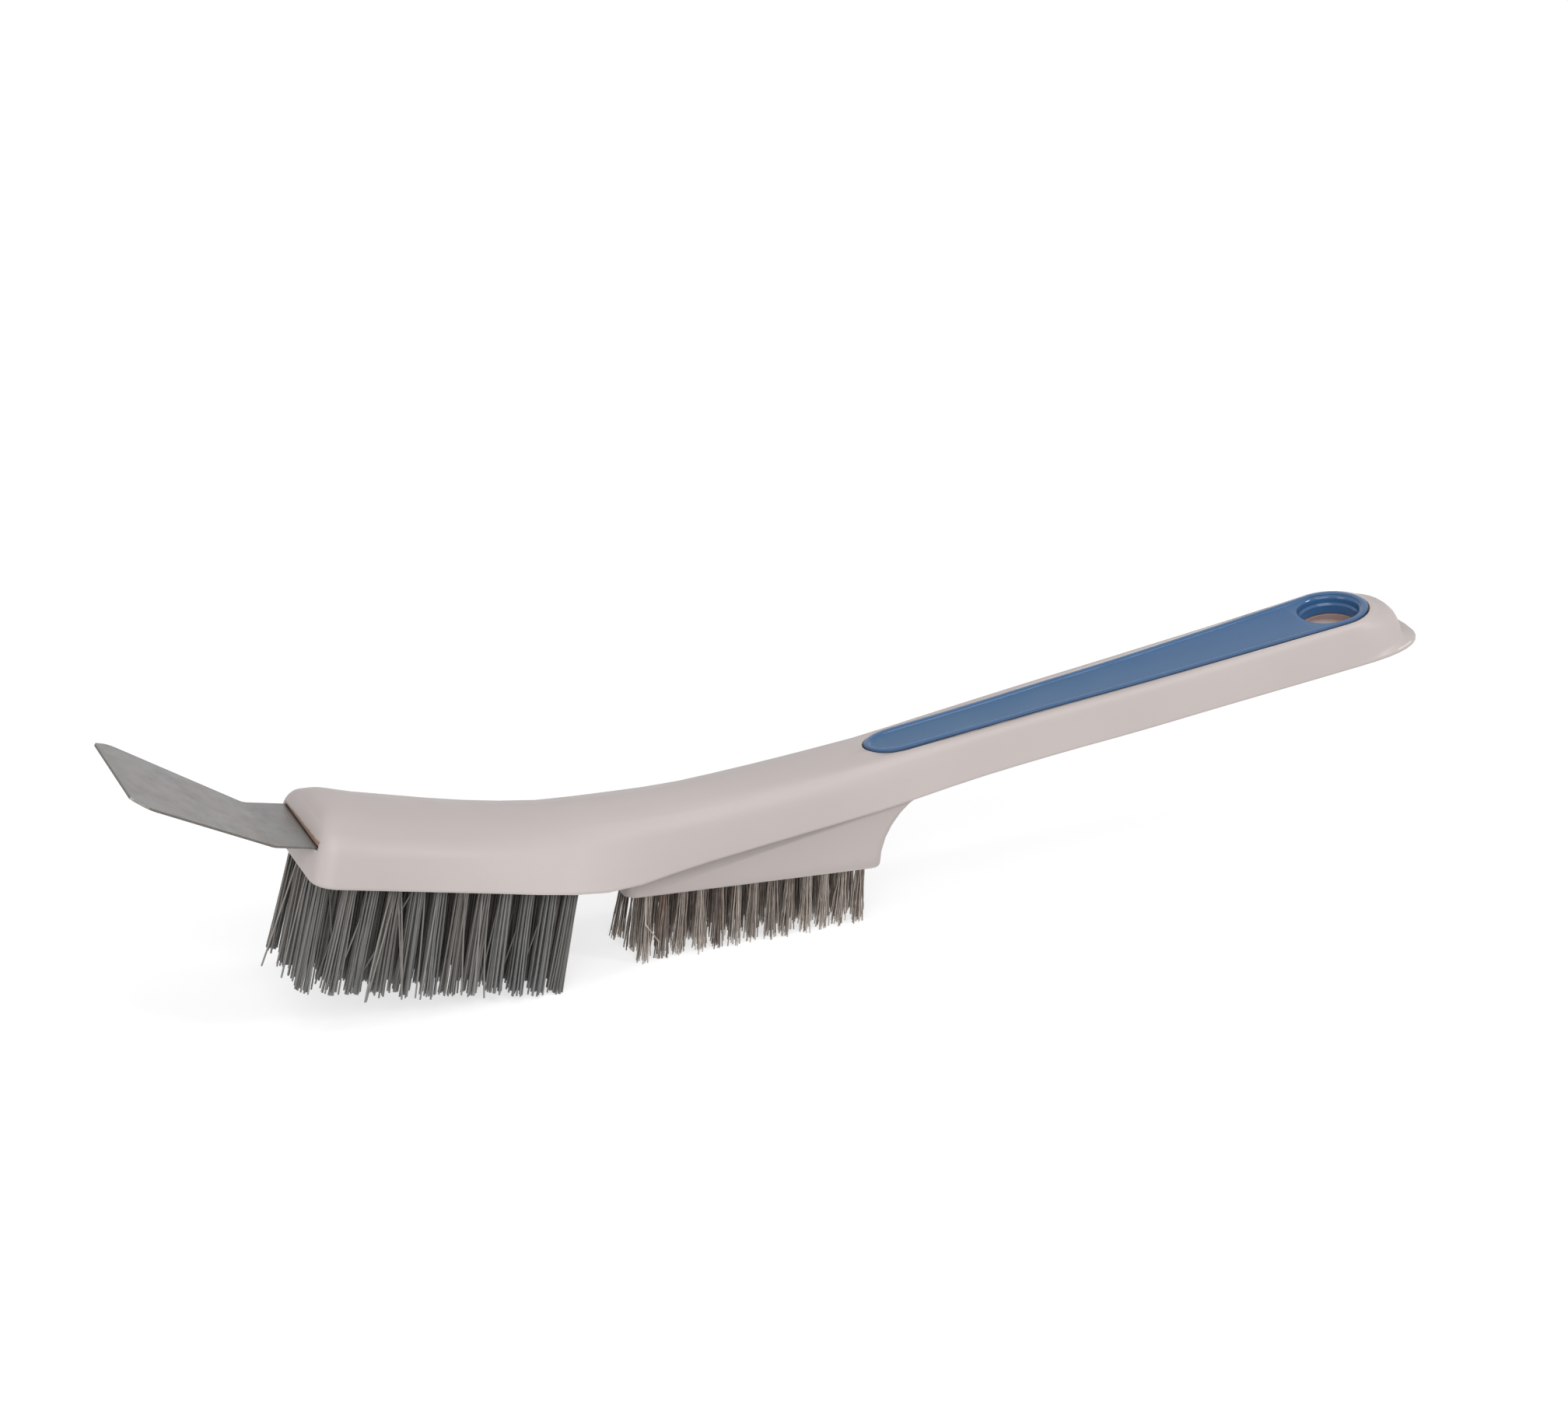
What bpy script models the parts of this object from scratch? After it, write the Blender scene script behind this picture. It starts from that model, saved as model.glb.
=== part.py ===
"""Grill brush with a bent steel scraper, nylon tufts, steel wire tufts and an inlaid handle.

Units are metres and +Z is up. The brush stands on the tips of its steel wires and of its last
row of nylon. X runs along the brush from the scraper's tip to the tail, and Y across it. The
origin is under the middle of the brush, on the surface that it stands on. Pieces are parented
to an empty below the lower front edge of the head, from which all places are measured.

Each big piece is a skin over a stack of closed rings, lowest first. A ring runs round the whole
piece as it is seen from above: across the front, along the side at -Y, round the tail and back.
"""

import itertools
import math
import random

import bmesh
import bpy
from mathutils import Matrix, Vector

# Body, seen from above: places are distances behind the lower front edge of the head
BODY_LENGTH = 0.3020
HEAD_WIDTH = 0.039
HEAD_CORNER = 0.005
NECK_WIDTH = 0.024
GRIP_WIDTH = 0.0272
TAIL_REACH = 0.0203
LIP_REACH = 0.0035
TAIL_LEAN = 0.24
TAIL_TOP_POWER = 2.0
TAIL_FOOT_POWER = 3.0
FIRST_SECTION_PLACE = 0.018

# Body, seen from the side
HEAD_FRONT_HEIGHT = 0.041
FACE_TILT = math.radians(12)
FACE_END_PLACE = 0.078
HANDLE_RISE = 0.0246
HEAD_DEPTH = 0.0145
NECK_DEPTH = 0.0135
GRIP_DEPTH = 0.0112
CROWN_RISE = 0.0009
CROWN_WIDTH = 0.0150
NECK_CROWN_WIDTH = 0.0142
FRONT_LEAN = 0.31
FRONT_CROWN_SETBACK = 0.0036
RIM_RADIUS = 0.0006
RIDGE_ROUND = 0.0030
CROWN_ROUND = 0.0030
LIP_THICKNESS = 0.0013
LIP_EDGE = 0.0004
LIP_FILLET = 0.0014

# Pad that carries the steel wires
PAD_SETBACK = 0.0026
PAD_DROP = 0.0052
PAD_LENGTH = 0.0684
PAD_WIDTH = 0.0212
PAD_CORNER = 0.003
PAD_SLOPE = math.radians(3.2)
PAD_FLARE = 0.0140
PAD_FLARE_TURN = math.radians(80)
PAD_BURY = 0.003

# Inlaid handle insert and the hanging hole
INSERT_PLACE = 0.1481
INSERT_END_LENGTH = 0.0090
INSERT_FRONT_WIDTH = 0.0127
INSERT_REAR_WIDTH = 0.0208
INSERT_SPREAD_POWER = 1.35
INSERT_THICKNESS = 0.0024
INSERT_BORDER = 0.0013
INSERT_EDGE = 0.0005
FIELD_DEPTH = 0.0004
INSERT_PROUD = 0.0003
HOLE_DIAMETER = 0.0157
HOLE_STEP = 0.0005
HOLE_STEP_DEPTH = 0.0023
HOLE_EDGE = 0.0008
COLLAR_WALL = 0.0016
COLLAR_DEPTH = 0.0050

# Scraper blade
BLADE_THICKNESS = 0.0006
BLADE_LIFT = 0.0080
BLADE_TANG = 0.0120
BLADE_LEAD = 0.0093
BLADE_REACH = 0.0394
BLADE_BEND = math.radians(18.4)
BLADE_BEND_RADIUS = 0.007
BLADE_ROOT_WIDTH = 0.0262
BLADE_WIDTH = 0.0388
BLADE_TIP_WIDTH = 0.0330
BLADE_TIP_CUT = 0.0043
SLOT_SIDE = 0.0006

# Tufts
BACKING = 0.0020
NYLON_ROWS = 12
NYLON_FIRST_ROW = 0.0052
NYLON_PITCH = 0.00562
NYLON_LINE_PITCH = 0.0071
NYLON_TUFT_WIDTH = 0.0038
NYLON_LENGTH = 0.0275
NYLON_STRAND = 0.0013
NYLON_SPREAD = 0.0010
NYLON_LEAN = math.radians(2)
NYLON_WANDER = 0.0005
WIRE_ROWS = 13
WIRE_FIRST_ROW = 0.0069
WIRE_PITCH = 0.00474
WIRE_LINE_PITCH = 0.0066
WIRE_TUFT_WIDTH = 0.0036
WIRE_STRAND = 0.0009
WIRE_SPREAD = 0.0013
WIRE_WANDER = 0.0009
TIP_SPLAY = math.radians(1.8)
STANDING_CUT = 0.0005

# Fits
GAP = 0.0003
OVERRUN = 0.004

# Smoothness
SIDE_STEPS = 28
PAD_STEPS = 6
CORNER_STEPS = 4
FRONT_STEPS = 2
TAIL_STEPS = 9
HOLE_STEPS = 48
BEND_STEPS = 4
FLARE_STEPS = 6
RIM_STEPS = 2
SHARP_ANGLE = math.radians(32)
MOST_BEND_SHARE = 0.48
SEED = 7

# Shares: the body's sections stand at shares of the way from the front to the hole
FRONT_DEPTH_SHARE = 1.06
PLACE_SHARES = (0.050, 0.083, 0.162, 0.226, 0.280, 0.349, 0.410, 0.482,
                0.554, 0.633, 0.708, 0.784, 0.859, 0.935, 1.0)
HEAD_FLOOR_SHARES = (1, 1, 1, 0.995, 0.84)
NECK_FLOOR_SHARES = (1.083, 1.017, 1, 1)
GRIP_FLOOR_SHARES = (0.905, 0.95, 0.978, 1, 1.007, 1)
HEAD_CROWN_SHARES = (1.06, 1.03, 0.94, 0.84, 0.82)
NECK_CROWN_SHARES = (0.92, 1.02, 1.165, 1.245)
GRIP_CROWN_SHARES = (0.70, 0.738, 0.79, 0.812, 0.834, 0.868)
RIDGE_WIDTH_SHARES = (0.783, 0.742, 0.59, 0.48, 0.505, 0.677, 0.71, 0.625,
                      0.45, 0.42, 0.42, 0.42, 0.40, 0.38, 0.38)
RIDGE_HEIGHT_SHARES = (0.69, 0.74, 0.77, 0.795, 0.85, 0.835, 0.80, 0.77,
                       0.69, 0.60, 0.59, 0.61, 0.64, 0.66, 0.68)
HEAD_DEPTH_SHARES = (1.03, 0.985, 0.937, 1.0, 1.128)
NECK_DEPTH_SHARES = (1.08, 1, 0.919, 0.861)
GRIP_DEPTH_SHARES = (0.954, 0.942, 0.955, 0.965, 1.0, 1.05)
CROWN_RISE_SHARES = (1, 1, 1, 1, 1, 1, 1, 0.9, 0.5, 0.2, 0.1, 0.1, 0.1, 0.1, 0.1)
CROWN_ROUND_SHARES = (1, 1, 1, 1, 1, 1, 1, 0.9, 0.6, 0.45, 0.45, 0.45, 0.45, 0.45, 0.45)
NYLON_LENGTH_SHARES = (1.06, 1.025, 1.025, 1.025, 1.025, 1.02, 1.01, 1.01, 1.0, 1.0, 0.995, 0.99)
NYLON_LEAN_SHARES = (0.6, 0, 0, -0.1, -0.5, -0.8, -0.9, -1, -1, -1, -0.9, -0.7)
RISE_PLACE_SHARES = (0, 0.095, 0.18, 0.28, 0.365, 0.42, 0.49, 0.594, 0.699, 0.804, 0.909, 1)
RISE_SHARES = (0, 0.06, 0.132, 0.226, 0.312, 0.392, 0.488, 0.606, 0.703, 0.813, 0.915, 1.0)


def curve_at(places, values, place):
    """A smooth curve through the points (place, value), level beyond its two ends."""
    if place <= places[0]:
        return values[0]
    if place >= places[-1]:
        return values[-1]
    i = max(k for k in range(len(places) - 1) if places[k] <= place)

    def slope(k):
        low, high = max(k - 1, 0), min(k + 1, len(places) - 1)
        return (values[high] - values[low]) / (places[high] - places[low])

    span = places[i + 1] - places[i]
    t = (place - places[i]) / span
    start = values[i] * (1 + 2 * t) * (1 - t) ** 2 + slope(i) * span * t * (1 - t) ** 2
    end = values[i + 1] * t * t * (3 - 2 * t) + slope(i + 1) * span * t * t * (t - 1)
    return start + end


def evenly(first, last, steps):
    return [first + (last - first) * step / steps for step in range(steps + 1)]


def scaled(size, shares):
    return tuple(size * share for share in shares)


HOLE_PLACE = BODY_LENGTH - TAIL_REACH - LIP_REACH
PLACES = scaled(HOLE_PLACE, PLACE_SHARES)
RISE_PLACES = tuple(FACE_END_PLACE + (HOLE_PLACE - FACE_END_PLACE) * share
                    for share in RISE_PLACE_SHARES)
RISES = scaled(HANDLE_RISE, RISE_SHARES)
FACE_END_HEIGHT = HEAD_FRONT_HEIGHT - FACE_END_PLACE * math.tan(FACE_TILT)
PAD_PLACE = FACE_END_PLACE + PAD_SETBACK
PAD_FRONT_HEIGHT = FACE_END_HEIGHT - PAD_DROP
TAIL_SLOPE = (RISES[-1] - RISES[-2]) / (RISE_PLACES[-1] - RISE_PLACES[-2])


def floor_height(place):
    """Height of the body's underside: the head's flat face, then the sweep up to the handle."""
    if place <= FACE_END_PLACE:
        return HEAD_FRONT_HEIGHT - place * math.tan(FACE_TILT)
    if place >= RISE_PLACES[-2]:
        return FACE_END_HEIGHT + RISES[-2] + TAIL_SLOPE * (place - RISE_PLACES[-2])
    return FACE_END_HEIGHT + curve_at(RISE_PLACES, RISES, place)


def insert_half_width(place):
    """Half the insert's width behind its rounded front end."""
    start = INSERT_PLACE + INSERT_END_LENGTH
    share = ((place - start) / (HOLE_PLACE - start)) ** INSERT_SPREAD_POWER
    return (INSERT_FRONT_WIDTH + (INSERT_REAR_WIDTH - INSERT_FRONT_WIDTH) * share) / 2


FLOOR_HALVES = (scaled(HEAD_WIDTH / 2, HEAD_FLOOR_SHARES) + scaled(NECK_WIDTH / 2, NECK_FLOOR_SHARES)
                + scaled(GRIP_WIDTH / 2, GRIP_FLOOR_SHARES))
CROWN_HALVES = (scaled(CROWN_WIDTH / 2, HEAD_CROWN_SHARES)
                + scaled(NECK_CROWN_WIDTH / 2, NECK_CROWN_SHARES) + scaled(GRIP_WIDTH / 2, GRIP_CROWN_SHARES))
CROWN_HEIGHTS = (scaled(HEAD_DEPTH, HEAD_DEPTH_SHARES) + scaled(NECK_DEPTH, NECK_DEPTH_SHARES)
                 + scaled(GRIP_DEPTH, GRIP_DEPTH_SHARES))
CROWN_RISES = scaled(CROWN_RISE, CROWN_RISE_SHARES)
CROWN_ROUNDS = scaled(CROWN_ROUND, CROWN_ROUND_SHARES)


def section_sizes(place):
    """The body's section at a place: floor, ridge and crown as (half width, height), and spine height."""
    floor = curve_at(PLACES, FLOOR_HALVES, place)
    crown = curve_at(PLACES, CROWN_HALVES, place)
    crown_height = curve_at(PLACES, CROWN_HEIGHTS, place)
    ridge = crown + (floor - crown) * curve_at(PLACES, RIDGE_WIDTH_SHARES, place)
    ridge_height = crown_height * curve_at(PLACES, RIDGE_HEIGHT_SHARES, place)
    spine_height = crown_height + curve_at(PLACES, CROWN_RISES, place)
    return (floor, 0), (ridge, ridge_height), (crown, crown_height), (0, spine_height)


def spine_height(place):
    """Height of the middle of the body's top, carried on straight past the hole."""
    if place > HOLE_PLACE:
        return floor_height(place) + section_sizes(HOLE_PLACE)[3][1]
    return floor_height(place) + section_sizes(place)[3][1]


def towards(a, b, distance):
    """The point this far from a on the way to b, and never quite half of the way."""
    length = math.dist(a, b)
    share = min(distance / length, MOST_BEND_SHARE)
    return tuple(p + (q - p) * share for p, q in zip(a, b))


def bend(before, corner, after, reach, steps):
    """Points of the curve that rounds a corner off, starting and ending this far from it."""
    start, end = towards(corner, before, reach), towards(corner, after, reach)
    points = []
    for step in range(steps + 1):
        t = step / steps
        points.append(tuple(a * (1 - t) ** 2 + 2 * b * t * (1 - t) + c * t * t
                            for a, b, c in zip(start, corner, end)))
    return points


def at_height(foot, head, height):
    """The point of a wall at a height above the floor."""
    share = height / (head[1] - foot[1])
    return foot[0] + (head[0] - foot[0]) * share, height


def half_section(inner, floor, ridge, crown, spine, crown_round):
    """Points (distance out, height) from the floor's rim over the wall, ridge and crown to the spine."""
    points = bend(inner, floor, ridge, RIM_RADIUS, RIM_STEPS)
    for height in (LIP_THICKNESS - LIP_EDGE, LIP_THICKNESS, LIP_THICKNESS + LIP_EDGE / 2,
                   LIP_THICKNESS + LIP_FILLET):
        points.append(at_height(floor, ridge, height))
    points.extend(bend(floor, ridge, crown, RIDGE_ROUND, BEND_STEPS))
    points.extend(bend(ridge, crown, spine, crown_round, BEND_STEPS))
    points.append((spine[0] + (crown[0] - spine[0]) / 3, spine[1] - (spine[1] - crown[1]) / 9))
    return points


def front_profile():
    """How far behind the lower front edge each ring of the body starts, and how high."""
    sizes = section_sizes(FIRST_SECTION_PLACE)[1:]
    ridge, crown, spine = (height * FRONT_DEPTH_SHARE for half, height in sizes)
    ridge_setback = FRONT_LEAN * ridge
    crown_setback = ridge_setback + FRONT_CROWN_SETBACK
    return half_section((HEAD_CORNER, 0), (0, 0), (ridge_setback, ridge), (crown_setback, crown),
                        (crown_setback + 2 * CROWN_ROUND, spine), CROWN_ROUND)


def tail_reaches():
    """How far behind the middle of the hole each ring of the body ends, with the lip at the foot."""
    ridge, crown, spine = section_sizes(HOLE_PLACE)[1:]
    lip = TAIL_REACH + LIP_REACH
    points = half_section((0, 0), (TAIL_REACH, 0), (TAIL_REACH - TAIL_LEAN * ridge[1], ridge[1]),
                          (crown[0], crown[1]), (0, spine[1]), CROWN_ROUNDS[-1])
    reaches = [reach for reach, height in points]
    rim = evenly(lip - RIM_RADIUS, lip, RIM_STEPS)
    foot = reaches[len(rim) + 3]
    return rim + [lip, lip - LIP_EDGE, foot + LIP_FILLET / 2] + reaches[len(rim) + 3:]


def tail_point(turn, reach, half, share):
    """A point round the tail, where share is how high it lies: fuller at the foot, round at the top."""
    power = 2 / (TAIL_FOOT_POWER + (TAIL_TOP_POWER - TAIL_FOOT_POWER) * share)
    return HOLE_PLACE + reach * math.sin(turn) ** power, half * max(math.cos(turn), 0) ** power


def quarter(steps):
    """Angles of a quarter turn, both ends included."""
    return evenly(0, math.pi / 2, steps)


def closed_ring(side):
    """A whole ring from its half at -Y, whose first and last points lie on the middle plane."""
    ends = (side[0][0], 0, side[0][2]), (side[-1][0], 0, side[-1][2])
    near = [(x, -y, z) for x, y, z in side[1:-1]]
    far = [(x, y, z) for x, y, z in reversed(side[1:-1])]
    return [ends[0], *near, ends[1], *far]


def mesh_from(name, bm, smooth=False):
    bmesh.ops.recalc_face_normals(bm, faces=bm.faces)
    mesh = bpy.data.meshes.new(name)
    bm.to_mesh(mesh)
    bm.free()
    if smooth:
        mesh.shade_smooth()
        mesh.set_sharp_from_angle(angle=SHARP_ANGLE)
    return mesh


def skin(name, rings, front=1, rear=1):
    """A closed mesh over a stack of rings, its first and last filled from side to side.

    One face fills a ring's straight front, over this many points at each side, and one its rear.
    """
    bm = bmesh.new()
    loops = [[bm.verts.new(point) for point in ring] for ring in rings]
    size = len(loops[0])
    half = size // 2
    for low, high in zip(loops, loops[1:]):
        for i in range(size):
            bm.faces.new((low[i - 1], low[i], high[i], high[i - 1]))
    for loop in (loops[0], loops[-1]):
        bm.faces.new([loop[i] for i in range(-front, front + 1)])
        for i in range(front, half - rear):
            bm.faces.new((loop[i], loop[i + 1], loop[-i - 1], loop[-i]))
        bm.faces.new([loop[i] for i in range(half - rear, half + rear + 1)])
    return mesh_from(name, bm, smooth=True)


def add_empty(name, location):
    empty = bpy.data.objects.new(name, None)
    empty.location = location
    bpy.context.scene.collection.objects.link(empty)
    return empty


def add_object(name, mesh, parent, material=None, location=(0, 0, 0), tilt=0.0):
    """An object under the parent, turned about Y. Without a material it only cuts or joins."""
    obj = bpy.data.objects.new(name, mesh)
    bpy.context.scene.collection.objects.link(obj)
    obj.parent = parent
    obj.location = location
    obj.rotation_euler = (0, tilt, 0)
    if material:
        mesh.materials.append(material)
    else:
        obj.hide_render = True
        obj.display_type = "WIRE"
    return obj


def combine(obj, helper, operation):
    modifier = obj.modifiers.new(helper.name, "BOOLEAN")
    modifier.operation = operation
    modifier.solver = "EXACT"
    modifier.object = helper


def finish(name, colour, roughness, metallic=0.0):
    material = bpy.data.materials.new(name)
    material.use_nodes = True
    shader = material.node_tree.nodes["Principled BSDF"]
    shader.inputs["Base Color"].default_value = (*colour, 1)
    shader.inputs["Roughness"].default_value = roughness
    shader.inputs["Metallic"].default_value = metallic
    material.diffuse_color = (*colour, 1)
    return material


def body_mesh():
    """The moulded body: one ring after the other from the floor's rim to the middle of its top."""
    places = evenly(FIRST_SECTION_PLACE, HOLE_PLACE, SIDE_STEPS)
    sections = [half_section((0, 0), *section_sizes(place), curve_at(PLACES, CROWN_ROUNDS, place))
                for place in places]
    rings = []
    for j, ((setback, front), reach) in enumerate(zip(front_profile(), tail_reaches())):
        half, height = sections[0][j]
        height *= FRONT_DEPTH_SHARE
        corner = min(HEAD_CORNER - setback / 5, half)
        side = [(setback, y, front) for y in evenly(0, half - corner, FRONT_STEPS)]
        for turn in quarter(CORNER_STEPS)[1:]:
            side.append((setback + corner * (1 - math.cos(turn)), half - corner * (1 - math.sin(turn)),
                         front + (height - front) * math.sin(turn)))
        side.extend((place, *section[j]) for place, section in zip(places, sections))
        half, height = sections[-1][j]
        share = height / sections[-1][-1][1]
        side.extend((*tail_point(turn, reach, half, share), height) for turn in quarter(TAIL_STEPS)[1:])
        rings.append(closed_ring([(place, y, floor_height(place) + height) for place, y, height in side]))
    return skin("body", rings, front=FRONT_STEPS + CORNER_STEPS)


def pad_floor(place):
    return PAD_FRONT_HEIGHT - (place - PAD_PLACE) * math.tan(PAD_SLOPE)


def pad_ring(inset, flare, height_at):
    """A ring of the pad: a rounded rectangle, drawn in by inset and longer by flare at its rear."""
    start, end = PAD_PLACE + inset, PAD_PLACE + PAD_LENGTH - inset + flare
    half = PAD_WIDTH / 2 - inset
    side = [(start, 0)]
    for turn in quarter(CORNER_STEPS):
        side.append((start + PAD_CORNER * (1 - math.cos(turn)), half - PAD_CORNER * (1 - math.sin(turn))))
    side.extend((place, half) for place in evenly(start + PAD_CORNER, end - PAD_CORNER, PAD_STEPS)[1:-1])
    for turn in quarter(CORNER_STEPS):
        side.append((end - PAD_CORNER * (1 - math.sin(turn)), half - PAD_CORNER * (1 - math.cos(turn))))
    side.append((end, 0))
    return closed_ring([(place, y, height_at(place)) for place, y in side])


def pad_mesh():
    """The block under the sweep, whose rear runs up into the handle in a hollow curve."""
    rings = []
    for turn in quarter(RIM_STEPS):
        rim = RIM_RADIUS * (1 - math.cos(turn))
        rings.append(pad_ring(RIM_RADIUS * (1 - math.sin(turn)), 0, lambda place: pad_floor(place) + rim))
    for turn in evenly(0, PAD_FLARE_TURN, FLARE_STEPS)[1:]:
        share = math.sin(turn) / math.sin(PAD_FLARE_TURN)
        flare = PAD_FLARE * (1 - math.cos(turn))
        rings.append(pad_ring(0, flare, lambda place: pad_floor(place) + max(
            share * (floor_height(place) - pad_floor(place)), RIM_RADIUS * (1 + share))))
    rings.append(pad_ring(0, PAD_FLARE * (1 - math.cos(PAD_FLARE_TURN)),
                          lambda place: floor_height(place) + PAD_BURY))
    return skin("pad", rings, front=CORNER_STEPS + 1, rear=CORNER_STEPS + 1)


def insert_side(inset):
    """The insert's outline at -Y, drawn in by inset, as (place, half width)."""
    straight = INSERT_PLACE + INSERT_END_LENGTH
    reach = insert_half_width(HOLE_PLACE) - inset
    side = []
    for turn in quarter(TAIL_STEPS):
        side.append((straight - (INSERT_END_LENGTH - inset) * math.cos(turn),
                     (insert_half_width(straight) - inset) * math.sin(turn)))
    side.extend((place, insert_half_width(place) - inset)
                for place in evenly(straight, HOLE_PLACE, SIDE_STEPS // 2)[1:])
    for turn in quarter(TAIL_STEPS)[1:]:
        side.append((HOLE_PLACE + reach * math.sin(turn), reach * math.cos(turn)))
    return side


def insert_ring(inset, lift):
    """A ring of the insert, lifted over its upper edge, which stands a little over the body."""
    return closed_ring([(place, y, spine_height(place) + INSERT_PROUD + lift)
                        for place, y in insert_side(inset)])


def insert_mesh():
    """The inlay: a plate with a rounded border that stands over its field."""
    slant = INSERT_BORDER / 4
    levels = ((INSERT_EDGE, -INSERT_THICKNESS), (0, INSERT_EDGE - INSERT_THICKNESS), (0, -INSERT_EDGE),
              (INSERT_EDGE / 3, -INSERT_EDGE / 3), (INSERT_EDGE, 0), (INSERT_BORDER, 0),
              (INSERT_BORDER + slant, -FIELD_DEPTH / 4), (INSERT_BORDER + 2 * slant, -FIELD_DEPTH))
    return skin("insert", [insert_ring(inset, lift) for inset, lift in levels])


def recess_mesh():
    return skin("recess", [insert_ring(-GAP, -INSERT_THICKNESS - GAP), insert_ring(-GAP, OVERRUN)])


def turned_mesh(name, profile):
    """A solid turned about its own Z axis from (radius, height) points, bottom to top."""
    bm = bmesh.new()
    points = [(0, profile[0][1]), *profile, (0, profile[-1][1])]
    chain = [bm.verts.new((radius, 0, height)) for radius, height in points]
    edges = [bm.edges.new(pair) for pair in zip(chain, chain[1:])]
    bmesh.ops.spin(bm, geom=chain + edges, axis=(0, 0, 1), cent=(0, 0, 0), angle=math.tau,
                   steps=HOLE_STEPS, use_merge=True)
    bmesh.ops.remove_doubles(bm, verts=bm.verts, dist=GAP / 10)
    return mesh_from(name, bm, smooth=True)


def collar_mesh(clearance=0.0):
    radius = HOLE_DIAMETER / 2 + COLLAR_WALL + clearance
    return turned_mesh("collar", ((radius, -COLLAR_DEPTH - clearance), (radius, -INSERT_THICKNESS / 2)))


def bore_mesh():
    """The hanging hole: a rounded mouth, a step part of the way down, then straight through."""
    wide = HOLE_DIAMETER / 2
    narrow = wide - HOLE_STEP
    mouth = [(wide + HOLE_EDGE * (1 - math.cos(turn)), HOLE_EDGE * (math.sin(turn) - 1) - FIELD_DEPTH)
             for turn in quarter(RIM_STEPS)]
    return turned_mesh("bore", ((narrow, -2 * GRIP_DEPTH), (narrow, -HOLE_STEP_DEPTH - HOLE_STEP),
                                (wide, -HOLE_STEP_DEPTH), *mouth, (wide + HOLE_EDGE, OVERRUN)))


def blade_point(along, lift=0.0):
    """A point of the bent sheet as (x, z), with X along the head's face and Z square to it.

    along is measured on the sheet from the front of the head, negative towards the tip.
    """
    arc = BLADE_BEND_RADIUS * BLADE_BEND
    bend_start = BLADE_LEAD - arc / 2
    turned = min(max(-along - bend_start, 0) / arc, 1) * BLADE_BEND
    beyond = max(-along - bend_start - arc, 0)
    x = -min(-along, bend_start) - BLADE_BEND_RADIUS * math.sin(turned) - beyond * math.cos(turned)
    z = BLADE_LIFT + BLADE_BEND_RADIUS * (1 - math.cos(turned)) + beyond * math.sin(turned)
    return x + lift * math.sin(turned), z + lift * math.cos(turned)


def blade_outline():
    """The blade's edge at one side as (along, half width), from its tang to its tip."""
    arc = BLADE_BEND_RADIUS * BLADE_BEND
    root, wide, narrow = BLADE_ROOT_WIDTH / 2, BLADE_WIDTH / 2, BLADE_TIP_WIDTH / 2
    tip = -BLADE_LEAD - BLADE_REACH
    shoulder = (tip + BLADE_TIP_CUT, wide)
    bend_middle = -BLADE_LEAD
    rows = [(BLADE_TANG, root)]
    rows.extend((along, root) for along in evenly(bend_middle + arc / 2, bend_middle - arc / 2, FLARE_STEPS))
    rows.extend(bend(rows[-1], shoulder, (tip, narrow), BLADE_TIP_CUT / 2, BEND_STEPS))
    rows.extend(bend(shoulder, (tip, narrow), (tip, 0), BLADE_TIP_CUT / 5, BEND_STEPS))
    return rows


def sheet(name, rows, thickness, parent, material=None):
    """A bent sheet: its middle surface from rows of (along, half width), thickened both ways."""
    bm = bmesh.new()
    pairs = []
    for along, half in rows:
        x, z = blade_point(along)
        pairs.append([bm.verts.new((x, y, z)) for y in (-half, half)])
    for (a, b), (c, d) in zip(pairs, pairs[1:]):
        bm.faces.new((a, b, d, c))
    obj = add_object(name, mesh_from(name, bm), parent, material, (0, 0, HEAD_FRONT_HEIGHT), FACE_TILT)
    wall = obj.modifiers.new("thickness", "SOLIDIFY")
    wall.thickness = thickness
    wall.offset = 0
    wall.use_even_offset = True
    return obj


def blade_front():
    """How far the blade's tip stands in front of the head's lower front edge, level with the ground."""
    x, z = blade_point(-BLADE_LEAD - BLADE_REACH, -BLADE_THICKNESS / 2)
    return -x * math.cos(FACE_TILT) - z * math.sin(FACE_TILT)


def slab_mesh(length, width):
    """A slice of backing, its foot in the face at z 0."""
    bm = bmesh.new()
    size = Matrix.Diagonal((length, width, BACKING, 1))
    bmesh.ops.create_cube(bm, size=1, matrix=Matrix.Translation((0, 0, BACKING / 2)) @ size)
    return mesh_from("slab", bm)


def pocket_mesh(widths, first, pitch):
    """The pocket for the slices of all rows: as wide at each row as its slice, with a clearance."""
    start = first - pitch / 2 - GAP / 2
    side = []
    for row, width in enumerate(widths):
        if row and width == widths[row - 1]:
            side.pop()
        else:
            side.append((start + row * pitch, -width / 2 - GAP))
        side.append((start + (row + 1) * pitch, -width / 2 - GAP))
    side[-1] = (side[-1][0] + GAP, side[-1][1])
    outline = side + [(x, -y) for x, y in reversed(side)]
    bm = bmesh.new()
    face = bm.faces.new([bm.verts.new((x, y, -OVERRUN)) for x, y in outline])
    sides = bmesh.ops.extrude_face_region(bm, geom=[face])
    top = [item for item in sides["geom"] if isinstance(item, bmesh.types.BMVert)]
    bmesh.ops.translate(bm, verts=top, vec=(0, 0, OVERRUN + BACKING + GAP))
    return mesh_from("pocket", bm)


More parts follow.
